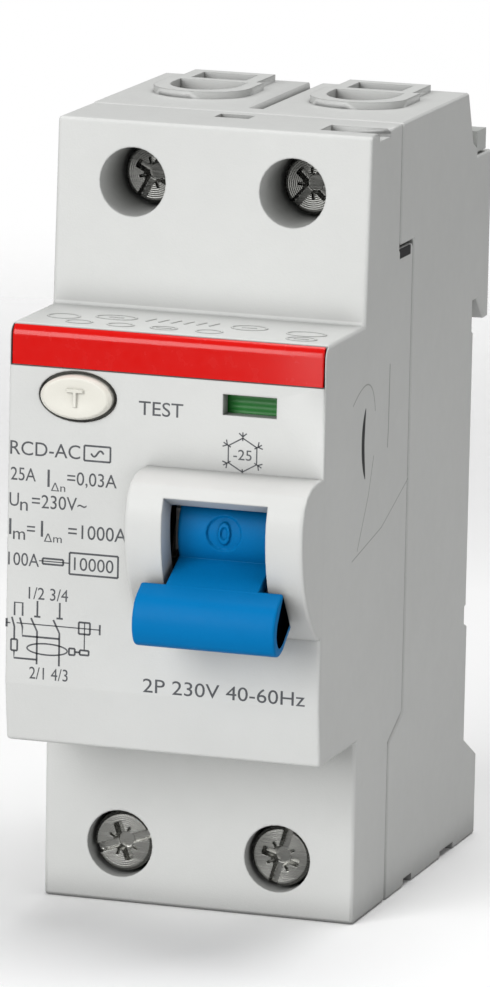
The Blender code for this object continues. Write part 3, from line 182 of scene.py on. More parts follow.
def spread(
    tree: Tree,
    value: Socket,
    low: float,
    high: float,
    to_low: float = 0.0,
    to_high: float = 1.0,
) -> Socket:
    """Adds a clamped map of a value from one range onto another.

    Args:
        tree: the tree it goes in.
        value: the value.
        low: the lower end of its range.
        high: the upper end of its range.
        to_low: what the lower end becomes.
        to_high: what the upper end becomes.

    Returns:
        The mapped value.
    """
    node = tree.nodes.new("ShaderNodeMapRange")
    tree.links.new(value, node.inputs["Value"])
    for label, number in (("From Min", low), ("From Max", high), ("To Min", to_low), ("To Max", to_high)):
        node.inputs[label].default_value = number
    return node.outputs["Result"]


class Groups:
    """The shader groups that several finishes share, each built once."""

    def __init__(self) -> None:
        """Builds each group."""
        self.grain = self.moulded_grain()
        self.scratches = self.drawn_scratches()
        self.dust = self.settled_dust()
        self.hollow = self.shaded_hollow()

    @staticmethod
    def moulded_grain() -> Tree:
        """The spark-eroded grain of a mould, with slow changes of shade where the plastic flowed.

        Returns:
            A group that gives Shade and Gloss around 0.5 and a Height in metres.
        """
        tree = new_group("moulded_grain", {"Mottle": 1.0, "Grain": 1.0}, ("Shade", "Gloss", "Height"))
        source, out = tree.nodes["In"], tree.nodes["Out"]
        vector = source.outputs["Vector"]
        slow = noise(tree, vector, 55.0, 3.0)
        cloud = noise(tree, vector, 320.0, 2.0)
        weighed = maths(tree, "MULTIPLY", cloud, 0.3)
        mixed = maths(tree, "ADD", maths(tree, "MULTIPLY", slow, 0.7), weighed)
        centred = maths(tree, "MULTIPLY", maths(tree, "SUBTRACT", mixed, 0.5), source.outputs["Mottle"])
        tree.links.new(maths(tree, "ADD", centred, 0.5), out.inputs["Shade"])
        tree.links.new(noise(tree, vector, 900.0, 2.0), out.inputs["Gloss"])
        coarse = maths(tree, "MULTIPLY", noise(tree, vector, 1500.0), 0.6)
        pits = maths(tree, "ADD", noise(tree, vector, 5200.0, 3.0), coarse)
        height = maths(tree, "MULTIPLY", maths(tree, "MULTIPLY", pits, 4.5e-5), source.outputs["Grain"])
        tree.links.new(height, out.inputs["Height"])
        return tree

    @staticmethod
    def drawn_scratches() -> Tree:
        """Fine lines left by drawing or turning, along the piece's own X.

        Returns:
            A group that gives a Mask of the lines and their Height in metres.
        """
        tree = new_group("drawn_scratches", {"Amount": 1.0}, ("Mask", "Height"))
        source, out = tree.nodes["In"], tree.nodes["Out"]
        stretch = tree.nodes.new("ShaderNodeMapping")
        stretch.inputs["Scale"].default_value = (0.06, 1.0, 1.0)
        tree.links.new(source.outputs["Vector"], stretch.inputs["Vector"])
        lines = noise(tree, stretch.outputs["Vector"], 4200.0, 4.0)
        mask = maths(tree, "MULTIPLY", spread(tree, lines, 0.42, 0.68), source.outputs["Amount"])
        tree.links.new(mask, out.inputs["Mask"])
        tree.links.new(maths(tree, "MULTIPLY", mask, 2.0e-6), out.inputs["Height"])
        return tree

    @staticmethod
    def settled_dust() -> Tree:
        """Dust that lies on faces that look up.

        Returns:
            A group that gives a Mask, 0 where a face looks down or sideways.
        """
        tree = new_group("settled_dust", {"Amount": 0.3}, ("Mask",))
        source, out = tree.nodes["In"], tree.nodes["Out"]
        geometry = tree.nodes.new("ShaderNodeNewGeometry")
        split = tree.nodes.new("ShaderNodeSeparateXYZ")
        tree.links.new(geometry.outputs["Normal"], split.inputs["Vector"])
        upward = spread(tree, split.outputs["Z"], 0.35, 0.95)
        patches = spread(tree, noise(tree, source.outputs["Vector"], 700.0, 5.0), 0.35, 0.75)
        mask = maths(tree, "MULTIPLY", maths(tree, "MULTIPLY", upward, patches), source.outputs["Amount"])
        tree.links.new(mask, out.inputs["Mask"])
        return tree

    @staticmethod
    def shaded_hollow() -> Tree:
        """Painted shade: a face that lies deep in a hollow gets a darker colour, the less of the air around
        it is open.

        Returns:
            A group that gives a Mask, 0 on open faces and up to Amount in the deepest ones.
        """
        tree = new_group("shaded_hollow", {"Amount": 0.5, "Reach": 0.004}, ("Mask",))
        source, out = tree.nodes["In"], tree.nodes["Out"]
        openness = tree.nodes.new("ShaderNodeAmbientOcclusion")
        openness.samples = 6
        tree.links.new(source.outputs["Reach"], openness.inputs["Distance"])
        # painted shade: the less open a point is, the more of the darker colour it gets
        shut = spread(tree, openness.outputs["AO"], 0.85, 0.25)
        tree.links.new(maths(tree, "MULTIPLY", shut, source.outputs["Amount"]), out.inputs["Mask"])
        return tree


GROUPS = Groups()


# ---------------------------------------------------------------- finishes


class Dresser:
    """One material while its nodes are laid out."""

    def __init__(self, name: str) -> None:
        """Starts a material with a Principled shader and Object coordinates."""
        self.material = bpy.data.materials.new(name)
        self.material.use_nodes = True
        self.tree = self.material.node_tree
        self.shader = self.tree.nodes["Principled BSDF"]
        coordinates = self.tree.nodes.new("ShaderNodeTexCoord")
        self.place = coordinates.outputs["Object"]

    def group(self, tree: Tree, **values: float) -> bpy.types.Node:
        """Places a shared group on the piece's own coordinates.

        Args:
            tree: the group.
            values: its named inputs.

        Returns:
            The group node.
        """
        node = self.tree.nodes.new("ShaderNodeGroup")
        node.node_tree = tree
        self.tree.links.new(self.place, node.inputs["Vector"])
        for label, value in values.items():
            node.inputs[label].default_value = value
        return node

    def mix(self, mask: Socket, first: Color | Socket, second: Color) -> Socket:
        """Mixes two colours by a mask.

        Args:
            mask: how much of the second shows.
            first: the colour at 0.
            second: the colour at 1.

        Returns:
            The mixed colour.
        """
        node = self.tree.nodes.new("ShaderNodeMix")
        node.data_type = "RGBA"
        self.tree.links.new(mask, node.inputs["Factor"])
        for label, value in (("A", first), ("B", second)):
            socket = next(s for s in node.inputs if s.name == label and s.type == "RGBA")
            if isinstance(value, Socket):
                self.tree.links.new(value, socket)
            else:
                socket.default_value = (*value, 1.0)
        return next(s for s in node.outputs if s.type == "RGBA")

    def color(self, value: Socket) -> None:
        """Sends a varying colour to the shader."""
        self.tree.links.new(value, self.shader.inputs["Base Color"])

    def roughness(self, value: Socket) -> None:
        """Sends a varying roughness to the shader."""
        self.tree.links.new(value, self.shader.inputs["Roughness"])

    def relief(self, height: Socket, strength: float, edge: float = 0.0) -> None:
        """Sends a height to the shader's normal, over edges rounded by a radius.

        Args:
            height: the height in metres.
            strength: the bump's strength.
            edge: the radius in millimetres that sharp edges are shaded with, or 0 for none.
        """
        bump = self.tree.nodes.new("ShaderNodeBump")
        bump.inputs["Strength"].default_value = strength
        bump.inputs["Distance"].default_value = 1.0
        self.tree.links.new(height, bump.inputs["Height"])
        if edge:
            rounded = self.tree.nodes.new("ShaderNodeBevel")
            rounded.samples = 4
            rounded.inputs["Radius"].default_value = edge * MM
            self.tree.links.new(rounded.outputs["Normal"], bump.inputs["Normal"])
        self.tree.links.new(bump.outputs["Normal"], self.shader.inputs["Normal"])


@dataclass(frozen=True)
class MouldedPlastic:
    """A moulded plastic with grain, flow shading, a little dust and painted shade in its hollows.

    edge is the radius that its edges are shaded with and reach is how far a hollow's painted shade
    looks, both in millimetres. depth_share is how much of the colour is left in the deepest hollow's
    painted shade.
    """

    name: str
    base: Color
    rough: float = 0.5
    mottle: float = 1.0
    grain: float = 1.0
    dust: float = 0.25
    coat: float = 0.0
    edge: float = 0.0
    specular: float = 0.5
    hollow: float = 0.0
    reach: float = 4.0
    depth_share: float = 0.1

    def material(self) -> Material:
        """Lays out the plastic's nodes.

        Returns:
            The material.
        """
        dresser = Dresser(self.name)
        grain = dresser.group(GROUPS.grain, Mottle=self.mottle, Grain=self.grain)
        dust = dresser.group(GROUPS.dust, Amount=self.dust)
        darker = tuple(c * 0.86 for c in self.base)
        lighter = tuple(min(1.0, c * 1.08) for c in self.base)
        shade = spread(dresser.tree, grain.outputs["Shade"], 0.2, 0.8)
        flowed = dresser.mix(shade, darker, lighter)
        dusty = tuple(0.5 * c + 0.22 for c in self.base)
        whole = dresser.mix(dust.outputs["Mask"], flowed, dusty)
        # painted shade: faces deep in hollows are mixed towards a darker copy of the colour
        if self.hollow:
            depth = dresser.group(GROUPS.hollow, Amount=self.hollow, Reach=self.reach * MM)
            deepest = tuple(c * self.depth_share for c in self.base)
            whole = dresser.mix(depth.outputs["Mask"], whole, deepest)
        dresser.color(whole)
        smooth, rough = self.rough - 0.07, self.rough + 0.07
        dresser.roughness(spread(dresser.tree, grain.outputs["Gloss"], 0.2, 0.8, smooth, rough))
        dresser.relief(grain.outputs["Height"], 0.35, self.edge)
        dresser.shader.inputs["Coat Weight"].default_value = self.coat
        dresser.shader.inputs["Coat Roughness"].default_value = 0.12
        dresser.shader.inputs["Specular IOR Level"].default_value = self.specular
        return dresser.material


@dataclass(frozen=True)
class BareMetal:
    """A plated, drawn or turned metal with fine lines and a thin tarnish."""

    name: str
    base: Color
    tarnish: Color
    polish: Polish = Polish.PLATED
    scratches: float = 0.8

    def material(self) -> Material:
        """Lays out the metal's nodes.

        Returns:
            The material.
        """
        dresser = Dresser(self.name)
        lines = dresser.group(GROUPS.scratches, Amount=self.scratches)
        film = dresser.group(GROUPS.grain, Mottle=1.6, Grain=0.3)
        clouds = spread(dresser.tree, film.outputs["Shade"], 0.45, 0.75, 0.0, 0.7)
        dresser.color(dresser.mix(clouds, self.base, self.tarnish))
        added = maths(dresser.tree, "MULTIPLY", lines.outputs["Mask"], 0.12)
        dresser.roughness(maths(dresser.tree, "ADD", added, self.polish.value))
        dresser.relief(lines.outputs["Height"], 0.5, 0.08)
        dresser.shader.inputs["Metallic"].default_value = 1.0
        return dresser.material


@dataclass(frozen=True)
class PrintedInk:
    """Pad-printed ink, thinner in places."""

    name: str
    base: Color
    worn: Color

    def material(self) -> Material:
        """Lays out the ink's nodes.

        Returns:
            The material.
        """
        dresser = Dresser(self.name)
        grain = dresser.group(GROUPS.grain, Mottle=2.0, Grain=0.6)
        thin = spread(dresser.tree, grain.outputs["Gloss"], 0.5, 0.85, 0.0, 0.55)
        dresser.color(dresser.mix(thin, self.base, self.worn))
        dresser.roughness(spread(dresser.tree, grain.outputs["Gloss"], 0.2, 0.8, 0.45, 0.65))
        dresser.relief(grain.outputs["Height"], 0.2)
        return dresser.material


@dataclass(frozen=True)
class TwoToneFlag:
    """The contact flag's two printed fields, one over the other, with a soft border line."""

    name: str
    lower: Color
    upper: Color
    split_m: float

    def material(self) -> Material:
        """Lays out the flag's nodes: the colour changes at a height on the piece.

        Returns:
            The material.
        """
        dresser = Dresser(self.name)
        grain = dresser.group(GROUPS.grain, Mottle=1.2, Grain=0.8)
        split = dresser.tree.nodes.new("ShaderNodeSeparateXYZ")
        dresser.tree.links.new(dresser.place, split.inputs["Vector"])
        above = spread(dresser.tree, split.outputs["Z"], self.split_m - 2e-5, self.split_m + 2e-5)
        fields = dresser.mix(above, self.lower, self.upper)
        shade = spread(dresser.tree, grain.outputs["Shade"], 0.3, 0.7, 0.0, 0.35)
        dresser.color(dresser.mix(shade, fields, (0.004, 0.02, 0.006)))
        dresser.roughness(spread(dresser.tree, grain.outputs["Gloss"], 0.2, 0.8, 0.3, 0.45))
        dresser.relief(grain.outputs["Height"], 0.3)
        return dresser.material


@dataclass(frozen=True)
class StudioPaper:
    """The pale paper that the device stands on, which throws back less light than the eye sees on it."""

    name: str
    base: Color
    bounce: Color
    full: float = 0.14
    gone: float = 0.42

    def material(self) -> Material:
        """Lays out the paper's nodes: it fades into the white air between two distances, in metres.

        Returns:
            The material.
        """
        dresser = Dresser(self.name)
        grain = dresser.group(GROUPS.grain, Mottle=0.15, Grain=0.2)
        darker = tuple(0.97 * c for c in self.base)
        sheet = dresser.mix(grain.outputs["Shade"], darker, self.base)
        distance = dresser.tree.nodes.new("ShaderNodeVectorMath")
        distance.operation = "LENGTH"
        dresser.tree.links.new(dresser.place, distance.inputs[0])
        fade = spread(dresser.tree, distance.outputs["Value"], self.full, self.gone, 1.0, 0.0)
        dresser.tree.links.new(fade, dresser.shader.inputs["Alpha"])
        path = dresser.tree.nodes.new("ShaderNodeLightPath")
        bounced = maths(dresser.tree, "SUBTRACT", 1.0, path.outputs["Is Camera Ray"])
        dresser.color(dresser.mix(bounced, sheet, self.bounce))
        dresser.shader.inputs["Roughness"].default_value = 0.9
        dresser.shader.inputs["Specular IOR Level"].default_value = 0.0
        return dresser.material


class Finishes:
    """Every material of the device, made once."""

    def __init__(self) -> None:
        """Makes each material from its finish."""
        # painted shade: the wells, the window and the other hollows of the housing get darker
        self.housing = MouldedPlastic(
            "housing_grey", linear(213, 214, 212), mottle=0.35, dust=0.1, edge=0.3,
            specular=0.3, hollow=0.68, reach=5.0,
        ).material()
        self.clip = MouldedPlastic(
            "clip_grey", linear(204, 206, 203), 0.42, mottle=0.4, grain=0.9, dust=0.1,
            edge=0.2, specular=0.3,
        ).material()
        self.stripe = MouldedPlastic(
            "stripe_red", linear(212, 12, 6), 0.24, mottle=0.12, grain=0.35, dust=0.0,
            coat=0.35, specular=0.2,
        ).material()
        # painted shade: the hollows round the raised T and the cap's rim get darker
        self.button = MouldedPlastic(
            "button_white", linear(228, 226, 216), 0.38, mottle=0.35, grain=0.8, dust=0.1,
            hollow=0.7, reach=1.2,
        ).material()
        # painted shade: the drum deep in its window gets darker, down to a quarter of its colour
        self.toggle = MouldedPlastic(
            "toggle_blue", linear(0, 116, 180), 0.42, mottle=0.5, grain=1.1, dust=0.0, edge=0.12,
            specular=0.05, hollow=0.7, reach=6.0, depth_share=0.25,
        ).material()
        self.black = MouldedPlastic("black_plastic", linear(38, 38, 40), dust=0.1).material()
        self.core = MouldedPlastic(
            "core_case_blue", linear(40, 84, 140), 0.45, mottle=0.8, grain=0.8, dust=0.1
        ).material()
        self.enamel = MouldedPlastic(
            "enamelled_wire", linear(168, 84, 44), 0.3, mottle=1.4, grain=0.8, dust=0.0, coat=0.5
        ).material()
        self.resistor = MouldedPlastic("resistor_body", linear(198, 184, 148), 0.6, dust=0.0).material()
        self.flag = TwoToneFlag(
            "flag_fields", linear(26, 132, 44), linear(196, 24, 26), 17.0 * MM
        ).material()
        self.steel = BareMetal("plated_steel", (0.62, 0.61, 0.59), (0.46, 0.44, 0.40)).material()
        self.screw = BareMetal(
            "nickel_screw", (0.34, 0.34, 0.32), (0.16, 0.16, 0.15), Polish.CONTACT
        ).material()
        # painted shade: a darker copy of the screw metal for the upper row, which is lit less
        self.dark_screw = BareMetal(
            "dulled_screw", (0.19, 0.19, 0.18), (0.08, 0.08, 0.075), Polish.CONTACT
        ).material()
        self.copper = BareMetal(
            "bare_copper", (0.78, 0.42, 0.27), (0.45, 0.22, 0.13), Polish.DRAWN
        ).material()
        self.brass = BareMetal(
            "bare_brass", (0.80, 0.62, 0.30), (0.50, 0.36, 0.16), Polish.DRAWN
        ).material()
        self.silver = BareMetal(
            "silver_contact", (0.86, 0.85, 0.83), (0.60, 0.56, 0.50), Polish.CONTACT
        ).material()
        self.ink = PrintedInk("printed_ink", linear(74, 76, 80), linear(120, 122, 124)).material()
        # painted shade of the side's moulded outlines, a darker grey than the housing
        self.moulded_line = PrintedInk(
            "moulded_line", linear(166, 168, 165), linear(190, 192, 189)
        ).material()
        # painted shade of the side slots
        self.slot_shadow = PrintedInk("slot_shadow", linear(30, 30, 32), linear(52, 52, 54)).material()
        self.paper = StudioPaper("studio_paper", linear(254, 254, 254), (0.58, 0.58, 0.58)).material()


# ---------------------------------------------------------------- surfaces


def close(mesh: Mesh, near: float = 1e-7, flat_deg: float = 0.0) -> None:
    """Merges a mesh's close points and turns its faces outwards.

    Args:
        mesh: the mesh, in metres.
        near: points closer than this become one.
        flat_deg: faces that meet at less than this become one, if it isn't 0.
    """
    bm = bmesh.new()
    bm.from_mesh(mesh)
    bmesh.ops.remove_doubles(bm, verts=bm.verts, dist=near)
    if flat_deg:
        bmesh.ops.dissolve_limit(bm, angle_limit=radians(flat_deg), verts=bm.verts, edges=bm.edges)
    bmesh.ops.recalc_face_normals(bm, faces=bm.faces)
    bm.to_mesh(mesh)
    bm.free()


@dataclass
class Surface:
    """Points with the quads and end faces that join them."""

    points: Array
    quads: Array
    caps: list[list[int]] = field(default_factory=list)

    def joined(self, other: "Surface") -> "Surface":
        """Both surfaces as one.

        Args:
            other: the surface that is added.

        Returns:
            The points one after the other, with the second one's faces counted on.
        """
        count = len(self.points)
        return Surface(
            np.concatenate([self.points, other.points]),
            np.concatenate([self.quads, other.quads + count]),
            self.caps + [[i + count for i in cap] for cap in other.caps],
        )

    def mesh(self, name: str) -> Mesh:
        """Turns the surface, in millimetres, into a closed mesh in metres that faces outwards.

        Args:
            name: the mesh's name.

        Returns:
            The mesh, with close points merged and its normals recalculated.
        """
        made = bpy.data.meshes.new(name)
        made.from_pydata((self.points * MM).tolist(), [], [*self.quads.tolist(), *self.caps])
        close(made)
        return made


def merged(parts: Sequence[Surface]) -> Surface:
    """Several surfaces as one.

    Args:
        parts: the surfaces.

    Returns:
        One surface with all of their faces.
    """
    whole = parts[0]
    for part in parts[1:]:
        whole = whole.joined(part)
    return whole


def grid_surface(grid: Array, caps: bool = True) -> Surface:
    """Joins a grid of points, ring after ring, into a tube.

    Point (i, j) is joined to (i + 1, j), (i + 1, j + 1) and (i, j + 1), with j counted round the ring.

    Args:
        grid: points of shape (rings, points in a ring, 3).
        caps: whether a face closes the first and the last ring. If not, the last ring joins the
            first.

    Returns:
        The surface.
    """
    rings, around = grid.shape[:2]
    index = np.arange(rings * around).reshape(rings, around)
    following = index[1:] if caps else np.roll(index, -1, axis=0)
    start = index[:-1] if caps else index
    quads = np.stack([start, following, np.roll(following, -1, 1), np.roll(start, -1, 1)], axis=-1)
    ends = [index[0].tolist(), index[-1][::-1].tolist()] if caps else []
    return Surface(grid.reshape(-1, 3), quads.reshape(-1, 4), caps=ends)


def bent(start: Array, pull: Array, end: Array, count: int = 24) -> Array:
    """A curve pulled towards a point: (1 - t)^2 A + 2 t (1 - t) B + t^2 C, for t from 0 to 1.

    Args:
        start: where it starts, A, of shape (2,) or (n, 1, 2) for n curves.
        pull: the point B that it bends towards.
        end: where it ends, C.
        count: how many points it has.

    Returns:
        The points, shape (count, 2) or (n, count, 2).
    """
    t = np.linspace(0, 1, count)[:, None]
    return (1 - t) ** 2 * np.asarray(start) + 2 * t * (1 - t) * np.asarray(pull) + t**2 * np.asarray(end)


def ellipse(center: tuple[float, float], wide: float, tall: float, count: int) -> Array:
    """Points of an ellipse with the given centre, half width and half height."""
    turn = np.linspace(0, 2 * pi, count, endpoint=False)
    return np.array(center) + np.stack([wide * np.cos(turn), tall * np.sin(turn)], axis=1)


def rounded_loop(
    corners: Sequence[tuple[float, float]], radius: float | Sequence[float], steps: int
) -> Array:
    """A closed outline with each corner rounded.

    At each corner B between A and C, the arc runs from S on BA to E on BC, both at the corner's
    radius from B or at 0.45 of the shorter side, as (1 - t)^2 S + 2 t (1 - t) B + t^2 E.

    Args:
        corners: the outline's corners in order.
        radius: the distance from a corner at which its arc starts, one for all or one each.
        steps: how many parts an arc has.

    Returns:
        The outline's points, shape (corners * (steps + 1), 2).
    """
    middle = np.asarray(corners, float)
    before, after = np.roll(middle, 1, 0), np.roll(middle, -1, 0)
    to_before, to_after = before - middle, after - middle
    long_before = np.linalg.norm(to_before, axis=1, keepdims=True)
    long_after = np.linalg.norm(to_after, axis=1, keepdims=True)
    asked = np.broadcast_to(np.asarray(radius, float).reshape(-1, 1), (len(middle), 1))
    reach = np.minimum(asked, 0.45 * np.minimum(long_before, long_after))
    start = middle + to_before / long_before * reach
    end = middle + to_after / long_after * reach
    return bent(start[:, None], middle[:, None], end[:, None], steps + 1).reshape(-1, 2)


def drawn_bar(outline: Array, low: float, high: float, edge: float, steps: int = 4) -> Surface:
    """A closed outline drawn along X, with the edges at both of its ends rounded.

    At an angle a of the end's quarter round the outline is drawn in along its normals by
    edge * (1 - sin a), and its place along X is edge * (1 - cos a) from the end.

    Args:
        outline: the closed outline's points (y, z), shape (n, 2).
        low: where the bar starts along X.
        high: where it ends.
        edge: the radius of the rounded end edges.
        steps: how many parts each quarter round has.

    Returns:
        The bar's surface.
    """
    tangent = np.roll(outline, -1, 0) - np.roll(outline, 1, 0)
    normal = np.stack([tangent[:, 1], -tangent[:, 0]], axis=1)
    normal /= np.maximum(np.linalg.norm(normal, axis=1, keepdims=True), 1e-9)
    area = np.sum(outline[:, 0] * np.roll(outline[:, 1], -1) - np.roll(outline[:, 0], -1) * outline[:, 1])
    normal *= np.sign(area)
    angle = np.linspace(0, pi / 2, steps + 1)
    inset = edge * (1 - np.sin(angle))
    place = edge * (1 - np.cos(angle))
    inset = np.concatenate([inset, inset[::-1]])
    along = np.concatenate([low + place, (high - place)[::-1]])
    flat = outline[None] - normal[None] * inset[:, None, None]
    return grid_surface(np.insert(flat, 0, np.broadcast_to(along[:, None], flat.shape[:2]), axis=2))


def turned_ring(loop: Array, center: tuple[float, float, float], steps: int) -> Surface:
    """A closed loop of (place along X, radius) turned about an axis that lies along X.

    A loop point (x, r) at an angle a from -Y towards +Z goes to (x, -r cos a, r sin a).

    Args:
        loop: the loop's points, shape (n, 2).
        center: a point on the axis. The loop's places are counted from it.
        steps: how many parts the turn has.

    Returns:
        The ring's surface, closed both ways.
    """
    angle = np.linspace(0, 2 * pi, steps, endpoint=False)[:, None]
    x, r = np.broadcast_to(loop[None, :, 0], (steps, len(loop))), loop[None, :, 1]
    grid = np.stack([x, -r * np.cos(angle), r * np.sin(angle)], axis=-1) + np.array(center)
    return grid_surface(grid, caps=False)


def ribbon(
    path: Array, width: float, lift: Callable[[Array], Array], closed: bool = False, taper: float = 0.0
) -> Surface:
    """A flat stroke of ink or an engraved line along a path.

    The path's points are moved by half the width along the mean of their neighbours' normals to
    both sides. lift places the flat stroke's four edges in space.

    Args:
        path: the path's points on its face, shape (n, 2).
        width: the stroke's width.
        lift: gives points in space, shape (..., 3), for (u, v, depth), where depth is 0 or 1.
        closed: whether the last point joins the first.
        taper: how much narrower its ends are than its middle, as a share of the width.

    Returns:
        The stroke's surface.
    """
    if closed:
        tangent = np.roll(path, -1, 0) - np.roll(path, 1, 0)
    else:
        tangent = np.gradient(path, axis=0)
    tangent /= np.maximum(np.linalg.norm(tangent, axis=1, keepdims=True), 1e-9)
    share = 1 - taper * np.abs(np.linspace(-1, 1, len(path))) ** 3
    normal = np.stack([-tangent[:, 1], tangent[:, 0]], axis=1) * width / 2 * share[:, None]
    left, right = path + normal, path - normal
    zero, one = np.zeros((len(path), 1)), np.ones((len(path), 1))
    ring = [(left, zero), (right, zero), (right, one), (left, one)]
    flat = np.stack([np.concatenate([side, depth], axis=1) for side, depth in ring], axis=1)
    return grid_surface(lift(flat), caps=not closed)


def smooth_step(value: Array, low: float, high: float) -> Array:
    """0 below low, 1 above high, and 3 t^2 - 2 t^3 between them.

    Args:
        value: the values.
        low: where the step starts.
        high: where it ends.

    Returns:
        The stepped values.
    """
    t = np.clip((value - low) / (high - low), 0, 1)
    return t * t * (3 - 2 * t)


def soft_block(x: Array, z: Array, half: tuple[float, float], blur: tuple[float, float]) -> Array:
    """1 inside a block and 0 outside it: smooth_step(h - |x|, 0, b) times the same for z.

    Args:
        x: distances from its middle one way.
        z: distances the other way.
        half: its half width and half height.
        blur: how far inside each edge the step ends.

    Returns:
        The block's height, 0 to 1.
    """
    return smooth_step(half[0] - np.abs(x), 0, blur[0]) * smooth_step(half[1] - np.abs(z), 0, blur[1])


def ellipse_ring(x: Array, z: Array, half_x: float, half_z: float, half_line: float) -> Array:
    """A raised line along an ellipse: 1 on the line and 0 away from it.

    The line is where sqrt((x / a)^2 + (z / b)^2) is within half a line's width of 1, counted by
    the mean of a and b.

    Args:
        x: distances from the ellipse's centre along X.
        z: distances from it along the other direction.
        half_x: the ellipse's half width a.
        half_z: its half height b.
        half_line: half of the line's width.

    Returns:
        The line's height, 0 to 1.
    """
    away = np.abs(np.hypot(x / half_x, z / half_z) - 1) * (half_x + half_z) / 2
    return 1 - smooth_step(away, half_line * 0.6, half_line * 1.3)


# ---------------------------------------------------------------- pieces


def dress(
    name: str,
    mesh: Mesh,
    finish: Material,
    body: str,
    stands_for: Sequence[str] = (),
    crease_deg: float = 35.0,
) -> bpy.types.Object:
    """Makes a piece of a mesh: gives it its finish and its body.

    Args:
        name: the piece's name.
        mesh: its mesh, in metres and in place.
        finish: its material.
        body: the body that it moves with.
        stands_for: the nodes that it replaces.
        crease_deg: edges sharper than this stay sharp.

    Returns:
        The piece.
    """
    piece = bpy.data.objects.new(name, mesh)
    bpy.context.scene.collection.objects.link(piece)
    mesh.materials.clear()
    mesh.materials.append(finish)
    mesh.shade_smooth()
    mesh.set_sharp_from_angle(angle=radians(crease_deg))
    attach(piece, body)
    if stands_for:
        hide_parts(*stands_for)
    LOG.info("%s: %d faces on %s", name, len(mesh.polygons), body)
    return piece


def even_shading(piece: bpy.types.Object) -> bpy.types.Object:
    """Weights a piece's normals by face size, so that its flat faces shade flat.

    Args:
        piece: the piece.

    Returns:
        The same piece.
    """
    weighted = piece.modifiers.new("even_shading", "WEIGHTED_NORMAL")
    weighted.keep_sharp = True
    return piece


def merged_copy(node: str, name: str) -> Mesh:
    """A copy of a node's mesh with its loose triangles joined.

    Args:
        node: the node.
        name: the copy's name.

    Returns:
        The copy, with close points merged and flat neighbours made one face.
    """
    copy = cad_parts[node].data.copy()
    copy.name = name
    close(copy, 2e-6, 0.4)
    return copy


def redress(finish: Material, *nodes: str) -> None:
    """Gives carried-over nodes a finish.

    Args:
        finish: the material.
        nodes: the nodes' names.
    """
    for node in nodes:
        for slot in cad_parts[node].material_slots:
            slot.material = finish
        LOG.info("%s: %s", node, finish.name)


def both(*kinds: str) -> list[str]:
    """The left and the right node of each kind."""
    return [f"{kind}_{side.name.lower()}" for kind in kinds for side in Side]


# ---------------------------------------------------------------- sub-assemblies


